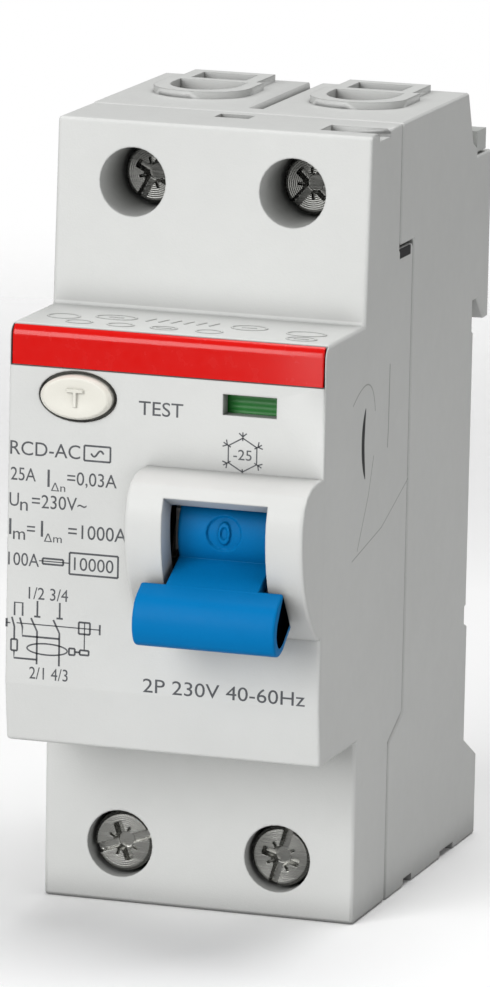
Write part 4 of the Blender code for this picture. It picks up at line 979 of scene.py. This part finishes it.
@dataclass
class Housing:
    """The front cover, the rear base, the barriers and the small marks moulded into them, those on the side
    shown as painted shade.
    """

    finishes: Finishes
    nose_face: float = -53.75
    nose_top: float = 22.5
    chin: float = -16.1
    side: float = 17.5
    proud: float = 0.01
    cut: float = 0.2
    raised: float = 0.07
    rooted: float = 0.1
    outline: float = 0.22
    crease_deg: float = 30.0
    latch: Path = ((-28.6, 28.4), (-24.7, 28.4))
    bow: Path = ((-39.6, 13.6), (-41.2, 10.0), (-39.4, 6.0))
    hump: Path = ((-44.2, 14.6), (-37.4, 18.4), (-36.2, 12.8))
    side_lines: tuple[tuple[Path, float], ...] = (
        (((-36.4, 8.0), (-38.0, 4.0), (-41.6, -1.4)), 0.14),
        (((-43.4, -2.2), (-33.0, -0.4), (-23.6, 3.2)), 0.12),
        (((-31.2, 17.0), (-31.3, 10.0), (-31.5, 8.0)), 0.24),
    )
    ovals: tuple[tuple[float, float, float, float], ...] = (
        (-13.6, -47.6, 1.7, 1.4), (-8.2, -46.2, 2.2, 1.3), (6.6, -46.4, 1.9, 1.4),
        (13.2, -47.4, 2.1, 1.3), (-11.0, -50.2, 1.4, 1.0), (-6.4, -50.2, 1.4, 1.0),
        (-1.6, -50.2, 1.4, 1.0), (3.4, -50.2, 1.4, 1.0), (13.6, -50.4, 1.6, 1.1),
    )
    barred: Path = ((-8.2, -46.2), (6.6, -46.4), (-1.6, -50.2), (13.6, -50.4))
    ticks: tuple[float, ...] = (-4.6, -3.2, -1.8, -0.4, 1.0, 2.4)

    def build(self) -> None:
        """Makes both shells, the side marks and the field of outlines on the nose's top."""
        for node, name in (("front_cover", "housing_front"), ("rear_base", "housing_rear")):
            shell = merged_copy(node, name)
            piece = dress(name, shell, self.finishes.housing, "housing", [node], self.crease_deg)
            self.crisp_chin(shell)
            even_shading(piece)
        redress(self.finishes.housing, "upper_pole_barrier", "lower_pole_barrier")
        self.side_marks()
        self.top_field()

    def crisp_chin(self, mesh: Mesh, near: float = 0.02) -> None:
        """Keeps the shallow bend line across the nose's lower face sharp.

        Args:
            mesh: a shell's mesh, in metres.
            near: how close to the line its points lie.
        """
        points = np.empty(len(mesh.vertices) * 3, np.float32)
        mesh.vertices.foreach_get("co", points)
        points = points.reshape(-1, 3) / MM
        away = np.abs(points[:, 1:] - np.array([self.nose_face, self.chin]))
        on_line = (away < near).all(axis=1)
        ends = np.empty(len(mesh.edges) * 2, np.int32)
        mesh.edges.foreach_get("vertices", ends)
        sharp = np.empty(len(mesh.edges), bool)
        mesh.edges.foreach_get("use_edge_sharp", sharp)
        mesh.edges.foreach_set("use_edge_sharp", sharp | on_line[ends.reshape(-1, 2)].all(axis=1))

    def on_side(self, flat: Array) -> Array:
        """Places (y, z, depth) on the right side: depth 0 is just proud of it and 1 is inside."""
        y, z, depth = np.moveaxis(flat, -1, 0)
        return np.stack([self.side + self.proud - (self.proud + self.cut) * depth, y, z], axis=-1)

    def side_marks(self) -> None:
        """Strips of painted shade on the right side: dark ones where the latch slot and the curved slot
        lie, and grey ones along the moulded outlines.
        """
        curved = ribbon(bent(*self.bow), 1.0, self.on_side, taper=0.85)
        # painted shade: a dark strip stands where each slot lies
        slot_shade_strips = merged([ribbon(np.array(self.latch), 1.0, self.on_side), curved])
        dress("side_slots", slot_shade_strips.mesh("side_slots"), self.finishes.slot_shadow, "housing")
        # painted shade: darker grey strips stand for the shade along the moulded outlines
        lines = [ribbon(bent(*self.hump), 0.14, self.on_side)]
        lines += [ribbon(np.array(path), width, self.on_side) for path, width in self.side_lines]
        mesh = merged(lines).mesh("side_moulded_lines")
        dress(mesh.name, mesh, self.finishes.moulded_line, "housing")

    def on_top(self, flat: Array) -> Array:
        """Places (x, y, depth) on the nose's top: depth 0 is just above it and 1 is below."""
        x, y, depth = np.moveaxis(flat, -1, 0)
        return np.stack([x, y, self.nose_top + self.raised - (self.raised + self.rooted) * depth], axis=-1)

    def top_field(self) -> None:
        """Two rows of plain raised outlines on the nose's top, in the housing's own plastic."""
        marks = [
            ribbon(ellipse((x, y), wide, deep, 28), self.outline, self.on_top, closed=True)
            for x, y, wide, deep in self.ovals
        ]
        bars = [np.array([[x - 0.8, y], [x, y], [x + 0.8, y]]) for x, y in self.barred]
        bars += [np.array([[x, -47.1], [x + 0.2, -46.2], [x + 0.5, -45.3]]) for x in self.ticks]
        marks += [ribbon(path, self.outline, self.on_top) for path in bars]
        mesh = merged(marks).mesh("nose_top_marks")
        dress(mesh.name, mesh, self.finishes.housing, "housing")


@dataclass
class RedStripe:
    """The glossy stripe that wraps the nose's top edge."""

    finishes: Finishes
    face: float = -53.75
    top: float = 22.5
    bend: float = 1.3
    thickness: float = 0.6
    height: float = 4.3
    half_width: float = 17.15
    end_deg: float = 62.0
    end_round: float = 0.18

    def build(self) -> None:
        """Draws the stripe's outline along X.

        The outline is an arc about the nose's rounded edge, straight down the face and back up
        its own thickness.
        """
        center = np.array([self.face + self.bend, self.top - self.bend])
        angle = np.radians(np.linspace(0, self.end_deg, 20))
        rise = np.stack([-np.cos(angle), np.sin(angle)], axis=1)
        outer, inner = center + self.bend * rise, center + (self.bend - self.thickness) * rise[::-1]
        bottom = self.top - self.height
        foot = rounded_loop([(self.face + self.thickness, bottom), (self.face, bottom)], 0.001, 1)
        outline = np.concatenate([foot, outer, inner])
        mesh = drawn_bar(outline, -self.half_width, self.half_width, self.end_round).mesh("red_stripe_band")
        dress(mesh.name, mesh, self.finishes.stripe, "housing", ["red_stripe"])


@dataclass
class TestButton:
    """The oval button with its dished cap, raised T, flange and stem, and the circuit that it closes."""

    finishes: Finishes
    x: float = -9.76
    z: float = 15.2
    half_width: float = 3.95
    half_height: float = 2.35
    face: float = -54.75
    rim: float = 0.86
    rim_fall: float = 0.42
    dish: float = 0.16
    relief: float = 0.32
    letter_line: float = 0.24
    flange: Path = ((1.0, 1.6), (1.0, 2.3), (1.28, 2.3), (1.3, 2.4), (1.3, 3.3), (1.28, 3.4))
    neck: Path = ((0.28, 3.45), (0.28, 7.4), (0.24, 7.6))

    def build(self) -> None:
        """Makes the button as rings from its centre over the rim and back along the stem.

        The rows of flange and neck are (share of the width, depth behind the face). A ring is an
        ellipse, or a circle on the neck. The cap's depth is a dish less the raised T, and its rim
        falls by 1 - cos.
        """
        rim_turn = np.sin(np.linspace(0, pi / 2, 10))[1:]
        share = np.concatenate([np.linspace(0.02, self.rim, 46), self.rim + (1 - self.rim) * rim_turn])
        fall = self.rim_fall * (1 - np.cos(np.clip((share - self.rim) / (1 - self.rim), 0, 1) * pi / 2))
        dish = self.dish * (1 - smooth_step(share, 0.0, 0.84))
        flange, neck = np.array(self.flange), np.array(self.neck)
        shares = [share, flange[:, 0], neck[:, 0]]
        heights = [self.half_height * share, self.half_height * flange[:, 0], self.half_width * neck[:, 0]]
        wide, tall = self.half_width * np.concatenate(shares), np.concatenate(heights)
        depth = self.face + np.concatenate([fall + dish, flange[:, 1], neck[:, 1]])
        angle = np.linspace(0, 2 * pi, 120, endpoint=False)
        x, z = wide[:, None] * np.cos(angle), tall[:, None] * np.sin(angle)
        letter = np.maximum(
            soft_block(x, z - 0.75, (1.0, self.letter_line), (0.1, 0.1)),
            soft_block(x, z + 0.05, (self.letter_line, 0.98), (0.1, 0.12)),
        )
        raised = self.relief * letter * (np.arange(len(wide))[:, None] < len(share))
        grid = np.stack([self.x + x, depth[:, None] - raised, self.z + z], axis=-1)
        mesh = grid_surface(grid).mesh("test_button_cap")
        dress(mesh.name, mesh, self.finishes.button, "test_button", ["test_button"])
        redress(self.finishes.steel, "test_button_spring")
        redress(self.finishes.brass, "test_contact_leaf")
        redress(self.finishes.resistor, "test_resistor")
        redress(self.finishes.black, "test_circuit_lead")


@dataclass
class ContactFlag:
    """The sliding flag behind its window, with faint ribs along it."""

    finishes: Finishes
    rib: float = 0.012
    rib_pitch: float = 0.55
    corner: float = 0.2
    end_round: float = 0.1

    def build(self) -> None:
        """Makes the flag in its node's place: a plate whose front is rib * (1 + cos), drawn along X."""
        low, high = (np.array(corner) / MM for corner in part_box("contact_flag"))
        z = np.linspace(low[2] + self.corner, high[2] - self.corner, 90)
        ribs = self.rib * np.cos((z - low[2]) * 2 * pi / self.rib_pitch) + self.rib
        front = np.stack([low[1] + ribs, z], axis=1)
        near, far = low[1] + self.corner, high[1] - self.corner
        rest = [(near, high[2]), (far, high[2]), (high[1], high[2] - self.corner)]
        rest += [(high[1], low[2] + self.corner), (far, low[2]), (near, low[2])]
        plate = drawn_bar(np.concatenate([front, rest]), low[0], high[0], self.end_round)
        mesh = plate.mesh("contact_flag_plate")
        dress(mesh.name, mesh, self.finishes.flag, "contact_flag", ["contact_flag"])


@dataclass
class Toggle:
    """The blue toggle: a drum with a mark in a round recess, a slanted arm and a folded paddle.

    Arm and paddle are outlines of (y, z) offsets from the axis, each with its corners' radii.
    """

    finishes: Finishes
    x: float = 7.65
    axis_y: float = -51.9
    axis_z: float = 2.1
    radius: float = 5.1
    half_width: float = 5.1
    paddle_half: float = 7.8
    bore: float = 1.35
    pocket: float = 4.0
    pocket_depth: float = 3.0
    drum_edge: float = 0.35
    mark_deg: float = 5.0
    mark_radius: float = 1.95
    mark_depth: float = 0.3
    numeral_half: tuple[float, float] = (0.52, 0.95)
    numeral_line: float = 0.24
    bar_deg: float = -66.0
    bar_half: tuple[float, float] = (0.28, 1.1)
    arm_outline: Path = (
        (-2.6, -0.6), (-4.35, -2.45), (-8.9, -4.75), (-8.5, -6.1), (-3.7, -4.0), (-1.3, -2.9)
    )
    arm_radii: tuple[float, ...] = (0.3, 0.35, 0.3, 0.3, 0.3, 0.3)
    paddle_outline: Path = (
        (-8.5, -4.55), (-10.7, -5.85), (-11.55, -7.6), (-11.6, -9.3), (-10.9, -10.75),
        (-9.6, -11.2), (-8.4, -10.85), (-5.6, -8.75), (-6.15, -7.95), (-8.7, -9.75),
        (-9.7, -10.0), (-10.35, -9.1), (-10.3, -7.9), (-9.7, -6.95), (-8.1, -5.75),
    )
    paddle_radii: tuple[float, ...] = (
        0.3, 1.0, 0.9, 0.9, 0.8, 0.8, 0.6, 0.2, 0.2, 0.6, 0.6, 0.5, 0.6, 0.6, 0.3
    )

    def build(self) -> None:
        """Makes the drum, the arm and the paddle and dresses the axle and its spring."""
        arm = self.bar(self.arm_outline, self.arm_radii, self.half_width, 0.18)
        paddle = self.bar(self.paddle_outline, self.paddle_radii, self.paddle_half, 0.3)
        mesh = merged([self.drum(), arm, paddle]).mesh("toggle_lever")
        dress(mesh.name, mesh, self.finishes.toggle, "toggle", ["toggle"], 38.0)
        redress(self.finishes.steel, "toggle_axle", "toggle_spring")

    def drum(self) -> Surface:
        """The drum: a ring with a spring pocket on its left, and both marks sunk into its face.

        Returns:
            The drum's surface. Its outer radius is less by the depth of a mark where one lies.
        """
        half, edge = self.half_width, self.drum_edge
        quarter = np.linspace(0, pi / 2, 5)
        face = np.stack([np.linspace(-half + edge, half - edge, 110), np.full(110, self.radius)], axis=1)
        turned = edge * np.stack([np.sin(quarter), np.cos(quarter)], axis=1)
        right = np.array([half - edge, self.radius - edge]) + turned
        floor = -half + self.pocket_depth
        inner = [(half, self.bore + 0.1), (half - 0.1, self.bore), (floor, self.bore)]
        inner += [(floor, self.pocket), (-half, self.pocket)]
        loop = np.concatenate([face, right[1:], inner, (right[::-1] * np.array([-1, 1]))[:-1]])
        surface = turned_ring(loop, (0.0, 0.0, 0.0), 300)
        x, y, z = surface.points.T
        angle, radius = np.degrees(np.arctan2(z, -y)), np.hypot(y, z)
        along, below = (radians(1) * self.radius * (angle - mark) for mark in (self.mark_deg, self.bar_deg))
        sunk = smooth_step(self.mark_radius - np.hypot(x, along), 0.0, 0.16)
        numeral = ellipse_ring(x, along, *self.numeral_half, self.numeral_line)
        bar = soft_block(x, below, self.bar_half, (0.12, 0.12))
        depth = self.mark_depth * (sunk * (1 - 0.85 * numeral) + bar) * (radius > self.radius - 0.05)
        scale = 1 - depth / np.maximum(radius, 1e-6)
        surface.points = np.stack([x + self.x, y * scale + self.axis_y, z * scale + self.axis_z], axis=1)
        return surface

    def bar(self, corners: Path, radii: Sequence[float], half: float, end_round: float) -> Surface:
        """An outline given from the toggle's axis, rounded and drawn along X.

        Args:
            corners: the outline's (y, z) offsets from the axis.
            radii: the distance from each corner at which its arc starts.
            half: half of the bar's length.
            end_round: the radius of its end edges.

        Returns:
            The bar's surface.
        """
        outline = rounded_loop(corners, radii, 6) + np.array([self.axis_y, self.axis_z])
        return drawn_bar(outline, self.x - half, self.x + half, end_round)


@dataclass
class TerminalScrew:
    """One clamp screw: a turned head with a slot and a cross, and a threaded shank."""

    finishes: Finishes
    side: Side
    row: Row
    turn_deg: float
    head_radius: float = 3.3
    head_height: float = 2.6
    shank_radius: float = 2.5
    shank_length: float = 7.4
    pitch: float = 0.8
    thread_depth: float = 0.32
    chamfer: float = 0.4
    slot_half: float = 0.5
    cross_half: tuple[float, float] = (0.48, 2.15)
    rib_half: float = 0.16
    rib_reach: float = 1.75
    pit_radius: float = 1.15
    lathe_pitch: float = 0.22
    lathe_depth: float = 0.012
    crease_deg: float = 40.0

    @property
    def label(self) -> str:
        """The screw's row and side, as its node is named."""
        return f"{self.row.name.lower()}_{self.side.name.lower()}"

    def build(self) -> None:
        """Makes the screw's rings from the middle of the head to the end of the shank, and turns it."""
        low, high = (np.array(corner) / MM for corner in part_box(f"terminal_screw_{self.label}"))
        grid = np.concatenate([self.head(), self.shank()])
        turn = radians(self.turn_deg)
        x, z = grid[..., 0], grid[..., 2]
        spun = [x * cos(turn) - z * sin(turn), grid[..., 1], x * sin(turn) + z * cos(turn)]
        place = np.array([(low[0] + high[0]) / 2, low[1], (low[2] + high[2]) / 2])
        mesh = grid_surface(np.stack(spun, axis=-1) + place).mesh(f"clamp_screw_{self.label}")
        # painted shade: the upper row takes the darker copy of the screw metal
        finish = self.finishes.dark_screw if self.row is Row.UPPER else self.finishes.screw
        node, body = f"terminal_screw_{self.label}", f"screw_{self.label}"
        dress(mesh.name, mesh, finish, body, [node], self.crease_deg)

    def head(self) -> Array:
        """The head's rings: depth is the rim's chamfer or the deepest of slot, cross, ribs and pit.

        Returns:
            Points of shape (rings, 192, 3), each cut a product of smooth steps across and along it.
        """
        share = np.concatenate([np.linspace(0.01, 0.88, 60), np.linspace(0.88, 1.0, 7)[1:]])
        radius = self.head_radius * share
        angle = np.linspace(0, 2 * pi, 192, endpoint=False)
        x, z = radius[:, None] * np.cos(angle), radius[:, None] * np.sin(angle)
        slot = smooth_step(self.slot_half - np.abs(z), 0, 0.12)
        cross = soft_block(x, z, self.cross_half, (0.12, 0.15))
        diagonal = np.minimum(np.abs(x - z), np.abs(x + z)) / np.sqrt(2)
        away = np.hypot(x, z)
        ribs = smooth_step(self.rib_half - diagonal, 0, 0.1) * smooth_step(self.rib_reach - away, 0, 0.15)
        pit = smooth_step(self.pit_radius - away, 0, 0.3)
        cut = np.max([1.15 * slot, 1.25 * cross, 0.45 * ribs, 1.3 * pit], axis=0)
        rim = self.chamfer * smooth_step(share, 0.88, 1.0)[:, None]
        lathed = self.lathe_depth * np.cos(radius * 2 * pi / self.lathe_pitch)[:, None] * (cut < 0.02)
        return np.stack([x, np.maximum(cut, rim) + lathed, z], axis=-1)

    def shank(self) -> Array:
        """The shank's rings: radius = R - thread depth * triangle wave of (depth / pitch - angle / 2 pi).

        Returns:
            Points of shape (rings, 192, 3), from the back of the head to the shank's end.
        """
        neck = self.head_height
        thread = np.linspace(neck + 0.02, neck + self.shank_length - 0.02, 120)
        depth = np.concatenate([[neck - 0.15, neck], thread])
        angle = np.linspace(0, 2 * pi, 192, endpoint=False)
        wave = np.abs(((depth[:, None] - neck) / self.pitch - angle / (2 * pi)) % 1 - 0.5) * 2
        bolt = self.shank_radius - self.thread_depth * wave
        bolt[:2] = [[self.head_radius], [self.head_radius - 0.12]]
        bolt[-1] = self.shank_radius - 0.5
        level = np.broadcast_to(depth[:, None], bolt.shape)
        return np.stack([bolt * np.cos(angle), level, bolt * np.sin(angle)], axis=-1)


LABELS = (
    ("label_kind", "RCD-AC", -17.2, -9.4, 8.5, 10.0),
    ("label_rating", "25A", -17.1, -14.3, 5.75, 7.15),
    ("label_trip", "I", -13.0, -12.75, 5.3, 7.15),
    ("label_trip_foot", "Δn", -12.6, -11.0, 4.9, 5.8),
    ("label_trip_value", "=0,03A", -10.8, -5.3, 5.5, 7.15),
    ("label_voltage", "U", -17.2, -16.15, 2.95, 4.4),
    ("label_voltage_foot", "n", -16.0, -15.15, 2.55, 3.5),
    ("label_voltage_value", "=230V~", -14.7, -8.6, 2.95, 4.4),
    ("label_breaking", "I", -17.2, -16.95, -0.1, 1.6),
    ("label_breaking_foot", "m", -16.75, -15.4, -0.6, 0.3),
    ("label_equals", "=", -15.2, -14.3, 0.35, 0.95),
    ("label_fault", "I", -13.65, -13.4, -0.1, 1.6),
    ("label_fault_foot", "Δm", -13.3, -11.3, -0.6, 0.3),
    ("label_fault_value", "=1000A", -10.6, -4.1, 0.0, 1.5),
    ("label_fuse", "100A", -17.25, -13.8, -3.4, -2.0),
    ("label_fuse_limit", "10000", -9.9, -5.5, -3.4, -2.0),
    ("label_poles_in", "1/2 3/4", -14.9, -10.5, -6.9, -5.6),
    ("label_poles_out", "2/1 4/3", -14.7, -10.4, -15.5, -14.2),
    ("label_test", "TEST", -3.0, 1.9, 13.8, 15.3),
    ("label_class", "2P 230V 40-60Hz", -2.0, 15.9, -15.85, -14.35),
    ("label_cold", "-25", 7.5, 9.5, 9.85, 10.95),
)
"""Each line's piece, its words and its box on the nose: left, right, bottom and top."""

BOXES = (
    (-8.95, -6.05, 8.45, 10.05), (-10.4, -5.0, -3.85, -1.55), (-13.4, -11.1, -3.0, -2.4),
    (-10.3, -9.65, -12.55, -11.85), (-9.1, -8.1, -12.45, -11.95), (-9.25, -8.0, -10.2, -8.95),
    (-16.8, -16.1, -12.6, -11.4),
)
"""The diagram's printed boxes: left, right, bottom and top."""

BOLD_LINES: tuple[Path, ...] = (
    ((-9.65, -12.2), (-9.1, -12.2)),
    ((-6.9, -9.05), (-6.9, -10.15)),
    ((-17.35, -9.2), (-17.35, -10.1)),
    ((-16.45, -8.8), (-16.45, -7.4), (-15.55, -7.4), (-15.55, -8.8)),
    ((-16.75, -9.0), (-16.45, -10.0), (-16.45, -11.4)),
    ((-16.45, -12.6), (-16.45, -13.4), (-13.9, -13.4)),
    ((-15.85, -9.0), (-15.55, -10.0), (-15.55, -10.95), (-11.4, -10.95)),
)
THIN_LINES: tuple[Path, ...] = (
    ((-13.8, -2.7), (-10.4, -2.7)),
    ((-8.6, -11.95), (-8.6, -8.95)),
    ((-16.2, -9.6), (-6.9, -9.6)),
    ((-17.35, -9.65), (-16.9, -9.65)),
)


@dataclass
class Lettering:
    """What is printed on the nose: ratings, the wiring diagram and the cold-use mark, all generic."""

    finishes: Finishes
    face: float = -53.75
    film: float = 0.012
    sunk: float = 0.04
    line: float = 0.2
    thin_line: float = 0.12
    mark_line: float = 0.13
    poles: tuple[float, float] = (-13.9, -11.4)
    cold_center: tuple[float, float] = (8.5, 10.4)
    cold_reach: float = 2.42
    cold_frame: float = 1.8

    def build(self) -> None:
        """Prints each line of text, the diagram and the marks."""
        for name, words, *box in LABELS:
            self.words(name, words, *box)
        self.diagram()
        self.cold_mark()

    def on_nose(self, flat: Array) -> Array:
        """Places (x, z, depth) on the nose: depth 0 is the ink's face and 1 its back, in the plastic."""
        x, z, depth = np.moveaxis(flat, -1, 0)
        return np.stack([x, self.face - self.film + self.sunk * depth, z], axis=-1)

    def words(self, name: str, words: str, left: float, right: float, low: float, high: float) -> None:
        """Prints words, stretched to fill a box on the nose.

        A letter's point (u, v) goes to left + (right - left) (u - u0) / (u1 - u0), and the same for v.

        Args:
            name: the piece's name.
            words: what it says.
            left: the box's left side.
            right: its right side.
            low: its bottom.
            high: its top.
        """
        curve = bpy.data.curves.new(name, "FONT")
        curve.body = words
        curve.extrude = 0.02
        curve.resolution_u = 4
        holder = bpy.data.objects.new(name + "_curve", curve)
        bpy.context.scene.collection.objects.link(holder)
        bpy.context.view_layer.update()
        graph = bpy.context.evaluated_depsgraph_get()
        mesh = bpy.data.meshes.new_from_object(holder.evaluated_get(graph))
        bpy.data.objects.remove(holder)
        bpy.data.curves.remove(curve)
        mesh.name = name
        points = np.empty(len(mesh.vertices) * 3, np.float32)
        mesh.vertices.foreach_get("co", points)
        points = points.reshape(-1, 3).astype(float)
        share = (points - points.min(0)) / np.maximum(np.ptp(points, axis=0), 1e-9)
        u, v, front = share.T
        flat = np.stack([left + (right - left) * u, low + (high - low) * v, 1 - front], axis=-1)
        mesh.vertices.foreach_set("co", (self.on_nose(flat) * MM).astype(np.float32).ravel())
        close(mesh)
        dress(name, mesh, self.finishes.ink, "housing")

    def stroke(self, points: Sequence[Sequence[float]], width: float) -> Surface:
        """One printed line through points on the nose."""
        return ribbon(np.array(points, float), width, self.on_nose)

    def box(self, left: float, right: float, low: float, high: float) -> Surface:
        """A printed box, as one stroke for each side."""
        corners = [(left, low), (right, low), (right, high), (left, high), (left, low)]
        return merged([self.stroke(side, self.line) for side in zip(corners, corners[1:])])

    def diagram(self) -> None:
        """The wiring diagram, with its boxes, its sensing ring and both poles, and the type's sine."""
        wave = np.linspace(-0.7, 0.7, 16)
        sine = np.stack([-7.5 + wave, 9.25 + 0.32 * np.sin(wave / 0.7 * pi)], axis=1)
        ring = ellipse((-12.75, -12.2), 2.25, 0.6, 40)
        parts = [self.box(*box) for box in BOXES] + [self.stroke(sine, self.line)]
        parts += [self.stroke(path, self.line) for path in BOLD_LINES]
        parts += [self.stroke(path, self.thin_line) for path in THIN_LINES]
        parts.append(ribbon(ring, self.line * 0.8, self.on_nose, closed=True))
        for pole in self.poles:
            for path in (
                ((pole, -7.05), (pole, -8.7)),
                ((pole - 0.35, -8.75), (pole + 0.35, -8.75)),
                ((pole - 0.7, -8.95), (pole, -10.35), (pole, -13.9)),
            ):
                parts.append(self.stroke(path, self.line))
        mesh = merged(parts).mesh("wiring_diagram")
        dress(mesh.name, mesh, self.finishes.ink, "housing")

    def cold_mark(self) -> None:
        """A six-sided frost mark, forked at each corner, round the lowest working temperature."""
        hub, frame_radius = np.array(self.cold_center), self.cold_frame
        arms = []
        for arm in range(6):
            angle = pi / 2 + arm * pi / 3
            out, onward = (np.array([cos(angle + turn), sin(angle + turn)]) for turn in (0.0, pi / 3))
            across = np.array([-out[1], out[0]])
            fork = hub + (frame_radius + 0.15) * out
            paths = [(hub + frame_radius * out, hub + frame_radius * onward)]
            paths.append((hub + (frame_radius - 0.3) * out, hub + self.cold_reach * out))
            paths += [(fork, fork + 0.35 * out + sign * 0.42 * across) for sign in (-1, 1)]
            arms += [self.stroke(path, self.mark_line) for path in paths]
        mesh = merged(arms).mesh("cold_mark")
        dress(mesh.name, mesh, self.finishes.ink, "housing")


@dataclass
class RailClips:
    """Both sliding clips at the back and their springs."""

    finishes: Finishes
    crease_deg: float = 30.0

    def build(self) -> None:
        """Makes each clip a merged copy with even shading and dresses the springs."""
        for row in ("upper", "lower"):
            node, name = f"{row}_rail_clip", f"{row}_sliding_clip"
            mesh = merged_copy(node, name)
            finish, body = self.finishes.clip, f"{row}_clip"
            even_shading(dress(name, mesh, finish, body, [node], self.crease_deg))
            redress(self.finishes.steel, f"{row}_clip_spring")


@dataclass
class InnerWorks:
    """What lies inside: the switching, trip and sensing parts and the clamps."""

    finishes: Finishes

    def build(self) -> None:
        """Gives each inner node its finish."""
        cages, bars = (both(f"{kind}_upper", f"{kind}_lower") for kind in ("terminal_cage", "terminal_bar"))
        redress(self.finishes.steel, *cages, *both("frame_plate", "contact_spring"))
        redress(self.finishes.steel, "trip_lever_pin", "main_spring", "relay_plunger")
        redress(self.finishes.copper, *bars, *both("pole_conductor", "moving_contact_arm"))
        redress(self.finishes.silver, *both("moving_contact_tip", "fixed_contact_tip"))
        redress(self.finishes.black, "contact_carrier", "trip_lever", "trip_relay")
        redress(self.finishes.core, "sensor_core")
        redress(self.finishes.enamel, "sensor_winding", "relay_leads")


# ---------------------------------------------------------------- studio


@dataclass(frozen=True)
class Lamp:
    """A soft square lamp that looks at the device, in metres and watts."""

    name: str
    place: tuple[float, float, float]
    power: float
    size: float

    def hang(self, target: tuple[float, float, float]) -> None:
        """Hangs the lamp and turns it to a target."""
        light = bpy.data.lights.new(self.name, "AREA")
        light.energy, light.size = self.power, self.size
        holder = bpy.data.objects.new(self.name, light)
        bpy.context.scene.collection.objects.link(holder)
        holder.location = self.place
        towards = Vector(target) - Vector(self.place)
        holder.rotation_euler = towards.to_track_quat("-Z", "Y").to_euler()


@dataclass
class Studio:
    """The paper floor, the lights and the camera, in metres."""

    finishes: Finishes
    azimuth_deg: float = 17.92
    elevation_deg: float = 11.22
    roll_deg: float = 1.18
    distance: float = 0.8397
    target: tuple[float, float, float] = (0.00451, -0.0403, 0.00355)
    lens_mm: float = 288.54
    sensor_mm: float = 36.0
    floor_z: float = -0.0425
    floor_radius: float = 0.5
    floor_thick: float = 0.004
    air: float = 0.16
    lamps: tuple[Lamp, ...] = (
        Lamp("key", (-0.4, -0.95, 0.42), 8.7, 0.7),
        Lamp("front", (0.1, -1.1, -0.02), 1.9, 0.5),
        Lamp("fill", (1.0, -0.45, 0.25), 2.6, 0.8),
        Lamp("top", (0.1, 0.15, 1.0), 7.0, 0.7),
    )

    def build(self) -> None:
        """Lays the paper, hangs the lamps, fills the air and sets the camera."""
        self.paper_floor()
        for lamp in self.lamps:
            lamp.hang(self.target)
        self.white_air()
        self.camera()

    def paper_floor(self) -> None:
        """A wide round sheet: radius R, thickness h, its rim rounded by h / 2, turned about Z."""
        half = self.floor_thick / 2
        turn = np.linspace(0, 2 * pi, 96, endpoint=False)
        rim = np.linspace(-pi / 2, pi / 2, 9)
        reach = (self.floor_radius + half * np.cos(rim))[:, None]
        level = np.broadcast_to((self.floor_z - half + half * np.sin(rim))[:, None], (9, 96))
        grid = np.stack([reach * np.cos(turn), reach * np.sin(turn), level], axis=-1)
        mesh = grid_surface(grid / MM).mesh("paper_floor")
        sheet = bpy.data.objects.new(mesh.name, mesh)
        bpy.context.scene.collection.objects.link(sheet)
        mesh.materials.append(self.finishes.paper)

    def white_air(self) -> None:
        """A world that looks white and lights the device only a little."""
        world = bpy.data.worlds.new("studio_air")
        world.use_nodes = True
        tree = world.node_tree
        path = tree.nodes.new("ShaderNodeLightPath")
        seen = spread(tree, path.outputs["Is Camera Ray"], 0.0, 1.0, self.air, 1.0)
        tree.links.new(seen, tree.nodes["Background"].inputs["Strength"])
        tree.nodes["Background"].inputs["Color"].default_value = (1.0, 1.0, 1.0, 1.0)
        bpy.context.scene.world = world
        bpy.context.scene.view_settings.view_transform = "Standard"

    def camera(self) -> None:
        """Places the camera on its sphere round the target, rolled about its own axis."""
        a, e, roll = radians(self.azimuth_deg), radians(self.elevation_deg), radians(self.roll_deg)
        back = Vector((sin(a) * cos(e), -cos(a) * cos(e), sin(e)))
        level = Vector((0, 0, 1)).cross(back).normalized()
        upright = back.cross(level)
        right = cos(roll) * level + sin(roll) * upright
        up = -sin(roll) * level + cos(roll) * upright
        turn = Matrix((right, up, back)).transposed().to_4x4()
        lens = bpy.data.cameras.new("studio_camera")
        lens.sensor_fit = "VERTICAL"
        lens.sensor_height = self.sensor_mm
        lens.lens = self.lens_mm
        lens.clip_start, lens.clip_end = 0.01, 20.0
        holder = bpy.data.objects.new("studio_camera", lens)
        bpy.context.scene.collection.objects.link(holder)
        holder.matrix_world = Matrix.Translation(Vector(self.target) + back * self.distance) @ turn
        bpy.context.scene.camera = holder


# ---------------------------------------------------------------- assembly


SCREW_TURNS = (
    (Row.UPPER, Side.LEFT, 62.0),
    (Row.UPPER, Side.RIGHT, 48.0),
    (Row.LOWER, Side.LEFT, 20.0),
    (Row.LOWER, Side.RIGHT, 74.0),
)
"""How far each screw's slot is turned at rest, in degrees."""


def main() -> None:
    """Builds the studio, then each sub-assembly in order."""
    logging.basicConfig(level=logging.INFO, format="%(name)s: %(message)s")
    finishes = Finishes()
    for assembly in (Studio, Housing, RedStripe, Lettering, TestButton, ContactFlag, Toggle):
        assembly(finishes).build()
    for row, side, turn in SCREW_TURNS:
        TerminalScrew(finishes, side, row, turn).build()
    RailClips(finishes).build()
    InnerWorks(finishes).build()


if __name__ == "__main__":
    main()
